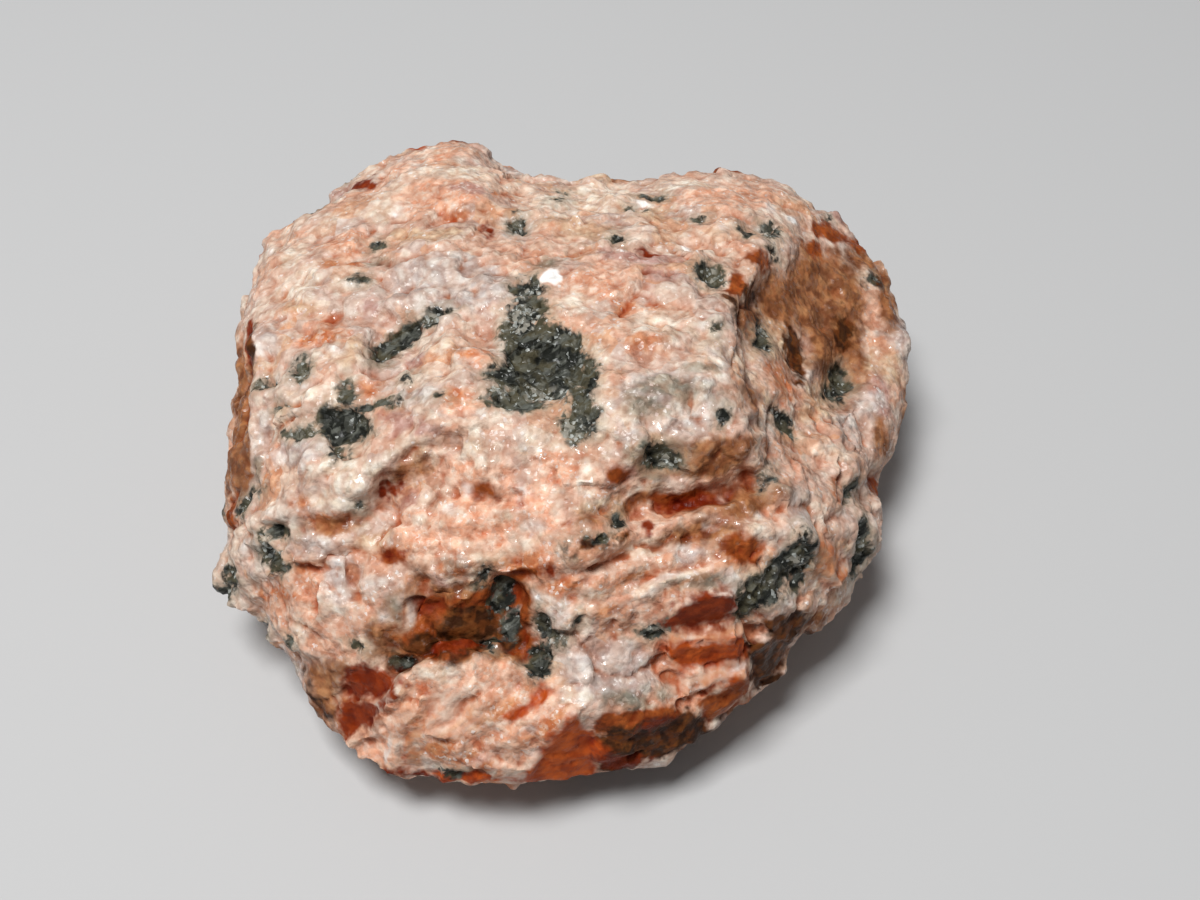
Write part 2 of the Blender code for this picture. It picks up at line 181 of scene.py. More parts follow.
def smooth_step(low, high, values):
    """Rises from 0 at low to 1 at high, with soft ends."""
    share = np.clip((values - low) / (high - low), 0.0, 1.0)
    return share * share * (3.0 - 2.0 * share)


def noise_at(coords, size, seed):
    """Returns soft noise between about -1 and 1 at each point, with lumps of one size."""
    shift = Vector((seed * 17.3, seed * 5.9, seed * 11.1))
    return np.array([noise.noise(Vector(point) / size + shift) for point in coords])


def along_line(places, line):
    """Returns how far each place is from a line in mm, and the same with a sign for its side."""
    nearest = np.full(len(places), np.inf)
    side = np.zeros(len(places))
    for start, end in zip(line, line[1:]):
        start, end = np.array(start, float), np.array(end, float)
        run = end - start
        offset = places - start
        share = np.clip((offset @ run) / (run @ run), 0.0, 1.0)
        gap = np.linalg.norm(offset - share[:, None] * run, axis=1)
        turn = np.sign(run[1] * offset[:, 0] - run[0] * offset[:, 1])
        closer = gap < nearest
        nearest[closer] = gap[closer]
        side[closer] = turn[closer]
    return nearest * PX / MM, nearest * side * PX / MM


# %% [markdown]
# ## What the eye sees
#
# A detail that is placed by where it shows belongs on the near surface alone. Each vertex gets a
# share that is 1 where it faces the eye with nothing in front, and 0 where it is turned away or
# hidden behind a ledge.

# %% What the eye sees
FACING_FULL = 0.35
HIDDEN_FROM, HIDDEN_FULLY = 0.3 * MM, 1.0 * MM


def surface_tree(coords):
    """Returns a tree of the surface's faces that rays can be cast against."""
    faces = [tuple(face.vertices) for face in stone.data.polygons]
    return BVHTree.FromPolygons([tuple(point) for point in coords], faces)


def seen_share(coords, normals, tree):
    """Returns 1 for vertices that the eye sees and 0 for those turned away or hidden."""
    to_eye = np.array(EYE) - coords
    distance = np.linalg.norm(to_eye, axis=1)
    facing = smooth_step(0.02, FACING_FULL, (to_eye * normals).sum(axis=1) / distance)
    behind = np.zeros(COUNT)
    for index in np.flatnonzero(facing > 0):
        reach = tree.ray_cast(EYE, Vector(-to_eye[index]))[3]
        behind[index] = distance[index] - (reach or distance[index])
    return facing * (1.0 - smooth_step(HIDDEN_FROM, HIDDEN_FULLY, behind))


melted_coords = read_coords(stone.data)
seen = seen_share(melted_coords, read_normals(stone.data), surface_tree(melted_coords))
print("vertices that the eye sees:", int((seen > 0).sum()), "of", COUNT)

# %% [markdown]
# ## The softened brow
#
# Where the plateau turns over into the basin at the right, the solid has a crease with a small
# overhang. On the real stone that turn is round. A smoothing modifier that is held to a vertex
# group rounds it and leaves the rest alone. The group is drawn with ovals in the picture.

# %% The softened brow
SOFTENED = [(765, 262, 70, 60, -40), (742, 320, 40, 60, 0), (735, 400, 26, 50, 0)]
SOFTEN_PASSES = 160


def oval_share(places, ovals):
    """Returns how much each place lies in any oval of the picture, 1 in the middle and 0 outside."""
    share = np.zeros(len(places))
    for across, down, half_width, half_height, turn in ovals:
        offset = places - np.array((across, down))
        cos, sin = math.cos(math.radians(turn)), math.sin(math.radians(turn))
        along = (offset[:, 0] * cos - offset[:, 1] * sin) / half_width
        over = (offset[:, 0] * sin + offset[:, 1] * cos) / half_height
        share = np.maximum(share, 1.0 - np.hypot(along, over))
    return smooth_step(0.0, 0.4, share) * seen


brow_share = oval_share(places_in_picture(melted_coords), SOFTENED)
brow = stone.vertex_groups.new(name="brow")
for index in np.flatnonzero(brow_share > 0):
    brow.add([int(index)], float(brow_share[index]), "REPLACE")
pick_only(stone)
soften = stone.modifiers.new("soften", "SMOOTH")
soften.factor = 0.5
soften.iterations = SOFTEN_PASSES
soften.vertex_group = brow.name
bpy.ops.object.modifier_apply(modifier="soften")
stone.vertex_groups.clear()
melted_coords = read_coords(stone.data)
seen = seen_share(melted_coords, read_normals(stone.data), surface_tree(melted_coords))
print("vertices softened at the brow:", int((brow_share > 0).sum()))

# %% [markdown]
# ## Broken faces
#
# Feldspar breaks along flat planes, and a few crystals in this stone broke clean: a stair of red and
# orange risers with pale treads at the right, a dark orange face at the lower left, a wide orange
# one at the bottom. Each is drawn by its corners in the picture. The vertices inside are moved onto
# the plane that fits them best, leaned a little to catch more or less light. Cutting the mesh with
# planes would give the same flats, but would slice through everything behind them too.

# %% Broken faces
FACE_EDGE_MM = 0.09
FURTHEST_SHIFT = 0.8 * MM
BROKEN_FACES = [
    # mineral, polish, lean to the right, lean down, corners across and down the picture
    ("red", 0.8, 0.10, 0.35, [
        (656, 624), (680, 601), (704, 590), (732, 591), (740, 609), (726, 627), (694, 635),
    ]),
    ("orange", 0.8, 0.0, -0.55, [
        (667, 632), (694, 634), (726, 627), (745, 620), (750, 633), (712, 642), (667, 643),
    ]),
    ("ember", 0.5, 0.0, 0.25, [
        (667, 644), (712, 643), (749, 635), (748, 662), (712, 668), (684, 673), (666, 660),
    ]),
    ("orange", 0.8, 0.0, -0.50, [
        (698, 676), (722, 667), (747, 663), (748, 672), (718, 681), (700, 693),
    ]),
    ("rust", 0.5, 0.05, 0.25, [
        (702, 697), (718, 683), (748, 674), (745, 697), (728, 715), (706, 724), (698, 708),
    ]),
    ("salmon", 0.4, -0.15, -0.20, [(668, 675), (692, 679), (692, 699), (676, 705), (664, 690)]),
    ("brown_and_shade", 0.6, 0.35, 0.10, [
        (750, 640), (768, 630), (795, 645), (791, 665), (771, 688), (757, 697), (750, 668),
    ]),
    ("brown_and_shade", 0.4, 0.20, 0.0, [(761, 619), (788, 607), (812, 613), (808, 632), (795, 643), (768, 629)]),
    ("red", 0.5, -0.10, 0.15, [
        (338, 697), (344, 676), (362, 664), (388, 667), (408, 686), (378, 699),
    ]),
    ("red", 0.6, 0.15, 0.30, [
        (341, 696), (376, 699), (408, 688), (388, 708), (368, 726), (349, 742), (339, 718),
    ]),
    ("ember", 0.6, 0.05, 0.0, [
        (575, 712), (597, 738), (595, 760), (601, 779), (560, 786), (524, 783), (522, 774), (540, 748),
        (556, 730),
    ]),
    ("salmon", 0.3, -0.10, -0.15, [
        (354, 742), (380, 718), (410, 694), (428, 693), (422, 717), (396, 730), (365, 742),
    ]),
    ("peach", 0.3, -0.25, 0.0, [(365, 744), (392, 729), (399, 745), (403, 773), (378, 766)]),
    ("orange", 0.4, 0.25, 0.0, [(401, 735), (421, 725), (420, 766), (407, 774)]),
    ("salmon", 0.4, 0.10, -0.15, [
        (428, 695), (468, 690), (480, 714), (456, 740), (424, 737), (421, 714),
    ]),
    ("ember", 0.4, 0.15, 0.10, [
        (505, 716), (522, 702), (544, 684), (551, 690), (530, 714), (510, 728),
    ]),
    ("rust", 0.5, 0.0, 0.45, [(461, 484), (480, 481), (502, 489), (497, 498), (470, 497)]),
    ("green", 0.5, -0.25, 0.0, [(385, 596), (400, 590), (404, 612), (402, 632), (388, 616)]),
    ("grey", 0.5, 0.30, 0.0, [(401, 590), (421, 600), (418, 622), (403, 632), (405, 612)]),
    ("grey", 0.15, -0.15, 0.0, [(324, 560), (344, 553), (349, 600), (338, 612), (326, 600)]),
    ("orange", 0.4, 0.10, -0.10, [
        (765, 362), (785, 358), (797, 372), (797, 396), (785, 405), (768, 392),
    ]),
    ("orange", 0.5, -0.05, -0.35, [
        (820, 522), (832, 535), (848, 560), (846, 575), (832, 590), (822, 575), (818, 545),
    ]),
    ("grey", 0.5, 0.15, -0.20, [
        (788, 490), (806, 499), (819, 528), (812, 545), (798, 528), (786, 508),
    ]),
    # painted shade: the umber face at the lower left is darkened where the stone turns away from the light
    ("umber_and_shade", 0.3, -0.10, 0.10, [
        (308, 668), (325, 656), (345, 662), (342, 690), (338, 714), (325, 705), (311, 690),
    ]),
    ("salmon", 0.3, -0.05, -0.10, [(340, 618), (352, 611), (366, 615), (364, 630), (345, 632)]),
    ("orange", 0.4, 0.10, 0.10, [(405, 577), (420, 580), (428, 596), (424, 604), (410, 594)]),
]


def inside_depth(places, corners):
    """Returns how deep each place lies inside a shape in mm, less than 0 outside it."""
    inside = np.zeros(len(places), bool)
    closed = corners + corners[:1]
    for (x0, y0), (x1, y1) in zip(closed, closed[1:]):
        if y0 != y1:
            crosses = (places[:, 1] > y0) != (places[:, 1] > y1)
            inside ^= crosses & (places[:, 0] < x0 + (places[:, 1] - y0) * (x1 - x0) / (y1 - y0))
    gap = along_line(places, closed)[0]
    return np.where(inside, gap, -gap)


def flatten(coords, depth, lean_right, lean_down):
    """Moves the vertices inside a shape onto the plane that fits them, leaned as asked."""
    share = smooth_step(-FACE_EDGE_MM, FACE_EDGE_MM, depth) * seen
    core = coords[share > 0.5]
    middle = core.mean(axis=0)
    across = np.linalg.svd(core - middle, full_matrices=False)[2][2]
    across *= np.sign(across @ np.array(BACK))
    across = across + np.array(ACROSS) * lean_right - np.array(UP) * lean_down
    across /= np.linalg.norm(across)
    shift = np.clip((middle - coords) @ across, -FURTHEST_SHIFT, FURTHEST_SHIFT)
    return coords + (shift * share)[:, None] * across


flat_coords = melted_coords.copy()
clean = np.zeros(COUNT)
flat_px = places_in_picture(melted_coords)
face_depths = []
for mineral, polish, lean_right, lean_down, corners in BROKEN_FACES:
    depth = inside_depth(flat_px, corners)
    face_depths.append((mineral, np.where(seen > 0, depth, -np.abs(depth))))
    clean = np.maximum(clean, smooth_step(-FACE_EDGE_MM, FACE_EDGE_MM, depth) * seen * polish)
    flat_coords = flatten(flat_coords, depth, lean_right, lean_down)
write_coords(flat_coords)
start_coords = read_coords(stone.data)
start_normals = read_normals(stone.data)
tree = surface_tree(start_coords)
seen_px = places_in_picture(start_coords)
print("broken faces:", len(BROKEN_FACES), "on", round(100 * float((clean > 0.5).mean()), 1), "% of the stone")

# %% [markdown]
# ## Crystal faces
#
# Between the large flats every crystal lies its own way, so its broken face tilts its own way and
# stops at its neighbour with a small step. Cells in space stand for the crystals: within a cell the
# surface is pushed out along a tilted plane. Three sizes of cell give large faces, grains and
# crumbs, and the same code with small, steep cells gives the flakes of the dark grains.

# %% Crystal faces
CELL_MIDDLE = Vector((0.5, 0.5, 0.5))
CRYSTALS = [
    # size of the cell, tilt of its face, step to its neighbours, in mm
    (2.6, 0.32, 0.08),
    (1.25, 0.16, 0.04),
    (0.6, 0.07, 0.025),
]
FLAKES = (0.42, 0.30, 0.10)


def crystal_faces(coords, size, tilt, step, seed):
    """Returns how far flat, tilted crystal faces stand out at each point, in metres."""
    heights = np.empty(len(coords))
    for index, point in enumerate(coords):
        place = Vector(point) / (size * MM)
        cell = noise.voronoi(place)[1][0]
        lot = noise.cell_vector(cell * 17.0 + Vector((seed, 0.0, 0.0))) - CELL_MIDDLE
        heights[index] = (place - cell).dot(lot) * 2.0 * tilt + lot.z * 2.0 * step
    return heights * MM


warp = np.stack([noise_at(start_coords, 1.6 * MM, seed) for seed in (1, 2, 3)], axis=1)
bent_coords = start_coords + warp * 0.45 * MM
faces = sum(
    crystal_faces(bent_coords, size, tilt, step, seed)
    for seed, (size, tilt, step) in enumerate(CRYSTALS)
)
flakes = crystal_faces(bent_coords, *FLAKES, len(CRYSTALS))
print("crystal faces move the surface by up to", round(np.abs(faces).max() / MM, 2), "mm")

# %% [markdown]
# ## Lumps, crumbs and drawn-out grain
#
# Between the flat faces the rock is sugary: lumps about a millimetre across with crumbs on them.
# Soft noise gives the lumps. The knobs and crumbs are the distance from the middle of a cell, which
# gives small domes with sharp valleys between them, like sugar. In two places the grain is drawn
# out in one direction: bands that rise gently to the right below the ledge, and steeper flutes on
# the front lobe. There noise that is folded at zero is read at places squeezed along the grain, so
# its ridges come out long. Along the back, the rim and in the basin the stone is worn, and there
# all of this is lower.

# %% Lumps, crumbs and drawn-out grain
LUMP_SIZE, LUMP_HEIGHT = 2.4 * MM, 0.26 * MM
KNOB_SIZE, KNOB_HEIGHT = 1.05 * MM, 0.24 * MM
CRUMB_SIZE, CRUMB_HEIGHT = 0.52 * MM, 0.16 * MM
DOME_LEVEL = 0.5
BAND_SIZE, BAND_HEIGHT, BAND_STRETCH, BAND_RISE_DEGREES = 0.75 * MM, 0.14 * MM, 6.0, 20.0
FLUTE_SIZE, FLUTE_HEIGHT, FLUTE_STRETCH, FLUTE_RISE_DEGREES = 0.85 * MM, 0.20 * MM, 9.0, 42.0
BANDED = [
    (640, 540, 90, 34, 18), (740, 530, 50, 30, 18), (600, 590, 60, 30, 20), (690, 590, 60, 16, 12),
    (620, 500, 70, 16, 15),
]
FLUTED = [(455, 720, 110, 42, 35), (540, 700, 40, 40, 45)]
WORN = [
    (430, 175, 95, 45, 0), (330, 215, 80, 26, 30), (560, 190, 80, 24, 0), (700, 185, 90, 30, 0),
    (810, 195, 60, 30, -40), (900, 300, 26, 80, -10), (255, 300, 26, 80, 0), (890, 430, 30, 90, 0),
    (820, 310, 90, 110, 0),
]
WORN_DOWN = 0.6
BEND_SIZE, BEND_PX = 0.9 * MM, 8.0


def domes_at(coords, size, seed):
    """Returns how high rounded grains of one size stand at each point, from about -0.5 to 0.5."""
    shift = Vector((seed * 3.1, seed * 7.7, seed * 1.9))
    nearest = [noise.voronoi(Vector(point) / size + shift)[0][0] for point in coords]
    return DOME_LEVEL - np.array(nearest)


def squeezed(coords, direction, stretch):
    """Returns the places squeezed along a direction, so that noise read there comes out long."""
    direction = np.array(direction)
    return coords - (coords @ direction)[:, None] * direction * (1.0 - 1.0 / stretch)


bend = np.stack([noise_at(start_coords, BEND_SIZE, seed) for seed in (7, 8)], axis=1)
bent_px = seen_px + bend * BEND_PX
lumps = noise_at(start_coords, LUMP_SIZE, 4) * LUMP_HEIGHT
knobs = domes_at(bent_coords, KNOB_SIZE, 5) * KNOB_HEIGHT
crumbs = domes_at(start_coords, CRUMB_SIZE, 6) * CRUMB_HEIGHT
banded = oval_share(bent_px, BANDED)
fluted = oval_share(bent_px, FLUTED)
worn = 1.0 - WORN_DOWN * np.maximum(oval_share(bent_px, WORN), fluted)
band_places = squeezed(start_coords, rising_right(BAND_RISE_DEGREES), BAND_STRETCH)
flute_places = squeezed(start_coords, rising_right(FLUTE_RISE_DEGREES), FLUTE_STRETCH)
bands = (np.abs(noise_at(band_places, BAND_SIZE, 9)) - 0.3) * BAND_HEIGHT * banded
flutes = (np.abs(noise_at(flute_places, FLUTE_SIZE, 10)) - 0.3) * FLUTE_HEIGHT * fluted
print("lumps and crumbs move it by up to", round(np.abs(lumps + knobs + crumbs).max() / MM, 2), "mm")

# %% [markdown]
# ## Strokes
#
# What makes this stone itself is the set of ledges, furrows and ridges that can be pointed at. They
# are made the way a sculptor works, with strokes: each is a line in the picture with a width and a
# height. A ridge or a furrow rises or sinks on both sides of its line. A step rises along one side
# of its line, on the left of someone walking from its first point to its last, and runs out in a
# slope.

# %% Strokes
BREAK_WIDTH_MM = 0.24
STROKES = [
    # kind, width in mm, height in mm, and the line across the picture
    ("step", 1.8, 0.30, [(365, 487), (398, 458), (435, 432), (470, 428)]),
    ("furrow", 0.6, 0.14, [(380, 492), (405, 473), (428, 452)]),
    ("furrow", 0.7, 0.28, [(240, 530), (300, 525), (345, 524), (372, 508)]),
    ("ridge", 0.9, 0.22, [(600, 470), (650, 440), (700, 445), (752, 441)]),
    ("furrow", 0.9, 0.40, [(640, 507), (690, 502), (720, 491), (758, 476)]),
    ("furrow", 0.6, 0.22, [(560, 520), (600, 512), (645, 490)]),
    ("step", 1.2, 0.16, [(736, 298), (728, 325), (733, 370), (752, 441)]),
    ("furrow", 0.8, 0.16, [(748, 310), (743, 340), (748, 380), (762, 425)]),
    ("ridge", 0.8, 0.25, [(763, 465), (795, 515), (820, 550)]),
    ("ridge", 0.9, 0.30, [(822, 440), (845, 452), (860, 480)]),
    ("furrow", 0.8, 0.35, [(872, 482), (850, 500), (838, 520)]),
    ("ridge", 1.5, 0.45, [(430, 645), (465, 642), (500, 640)]),
    ("furrow", 1.5, 0.50, [(425, 598), (470, 590), (505, 594)]),
    ("furrow", 1.2, 0.35, [(512, 590), (530, 620), (528, 650)]),
    ("ridge", 0.9, 0.35, [(405, 682), (440, 672), (475, 670), (505, 674)]),
    ("furrow", 0.8, 0.35, [(398, 664), (415, 658), (430, 662)]),
    ("ridge", 0.8, 0.25, [(398, 690), (436, 662), (505, 662), (548, 684)]),
    ("step", 1.0, 0.22, [(353, 744), (408, 694), (418, 678)]),
    ("furrow", 0.6, 0.25, [(470, 752), (500, 730), (540, 690)]),
    ("furrow", 0.5, 0.18, [(430, 735), (455, 715), (480, 690)]),
    ("furrow", 0.5, 0.16, [(400, 745), (420, 725), (440, 700)]),
    ("ridge", 0.6, 0.20, [(520, 774), (554, 730), (574, 712)]),
    ("furrow", 0.7, 0.35, [(755, 612), (755, 640), (757, 690)]),
    ("furrow", 0.6, 0.25, [(660, 640), (662, 670), (690, 705)]),
    ("furrow", 0.7, 0.25, [(560, 575), (640, 550), (720, 522), (790, 510)]),
    ("ridge", 0.6, 0.20, [(575, 560), (650, 535), (730, 505)]),
    ("furrow", 0.6, 0.25, [(570, 605), (640, 582), (720, 558), (780, 545)]),
    ("ridge", 0.5, 0.18, [(640, 590), (680, 577), (720, 570)]),
    ("ridge", 0.7, 0.18, [(240, 272), (262, 300), (258, 350), (255, 420)]),
    ("furrow", 0.9, 0.20, [(500, 172), (520, 200), (530, 240), (505, 275)]),
    ("furrow", 0.9, 0.30, [(375, 350), (402, 332), (425, 318)]),
    ("furrow", 0.8, 0.22, [(600, 262), (640, 255), (690, 245), (745, 262)]),
    ("ridge", 0.8, 0.22, [(600, 288), (650, 275), (700, 262)]),
    ("furrow", 0.7, 0.20, [(285, 300), (330, 322), (380, 318)]),
    ("furrow", 0.9, 0.14, [(820, 250), (835, 285), (842, 330), (836, 375)]),
    ("ridge", 0.8, 0.25, [(858, 245), (868, 285), (885, 330), (908, 352)]),
    ("furrow", 0.8, 0.16, [(795, 300), (800, 345), (800, 390), (815, 425)]),
    ("step", 0.9, 0.22, [(378, 266), (345, 263), (312, 268)]),
    ("ridge", 0.7, 0.16, [(385, 250), (430, 246), (470, 236)]),
    ("ridge", 0.7, 0.18, [(262, 396), (305, 397), (350, 388)]),
    ("ridge", 0.7, 0.20, [(448, 318), (480, 302), (505, 284)]),
    ("furrow", 0.5, 0.20, [(478, 500), (500, 500), (516, 492)]),
    ("step", 0.8, 0.20, [(640, 402), (685, 398), (720, 390)]),
    ("furrow", 0.5, 0.16, [(395, 530), (430, 536), (480, 530)]),
    ("furrow", 0.5, 0.20, [(348, 545), (351, 575), (353, 605)]),
    ("furrow", 0.6, 0.22, [(390, 552), (430, 590), (436, 610)]),
    ("ridge", 0.6, 0.20, [(430, 596), (445, 575), (462, 560)]),
    ("furrow", 0.7, 0.25, [(488, 570), (500, 595), (512, 632)]),
    ("furrow", 0.5, 0.16, [(690, 345), (705, 318), (722, 312)]),
    ("ridge", 0.6, 0.16, [(640, 338), (655, 332), (672, 342)]),
    ("furrow", 0.5, 0.14, [(635, 352), (655, 360), (676, 352)]),
]

strokes = np.zeros(COUNT)
for kind, width_mm, height_mm, line in STROKES:
    gap, signed_gap = along_line(bent_px, line)
    fade = 1.0 - smooth_step(0.0, width_mm, gap)
    if kind == "step":
        strokes += height_mm * MM * fade * smooth_step(-BREAK_WIDTH_MM, BREAK_WIDTH_MM, signed_gap)
    elif kind == "ridge":
        strokes += height_mm * MM * fade
    else:
        strokes -= height_mm * MM * fade
print("strokes:", len(STROKES), "moving up to", round(np.abs(strokes).max() / MM, 2), "mm")
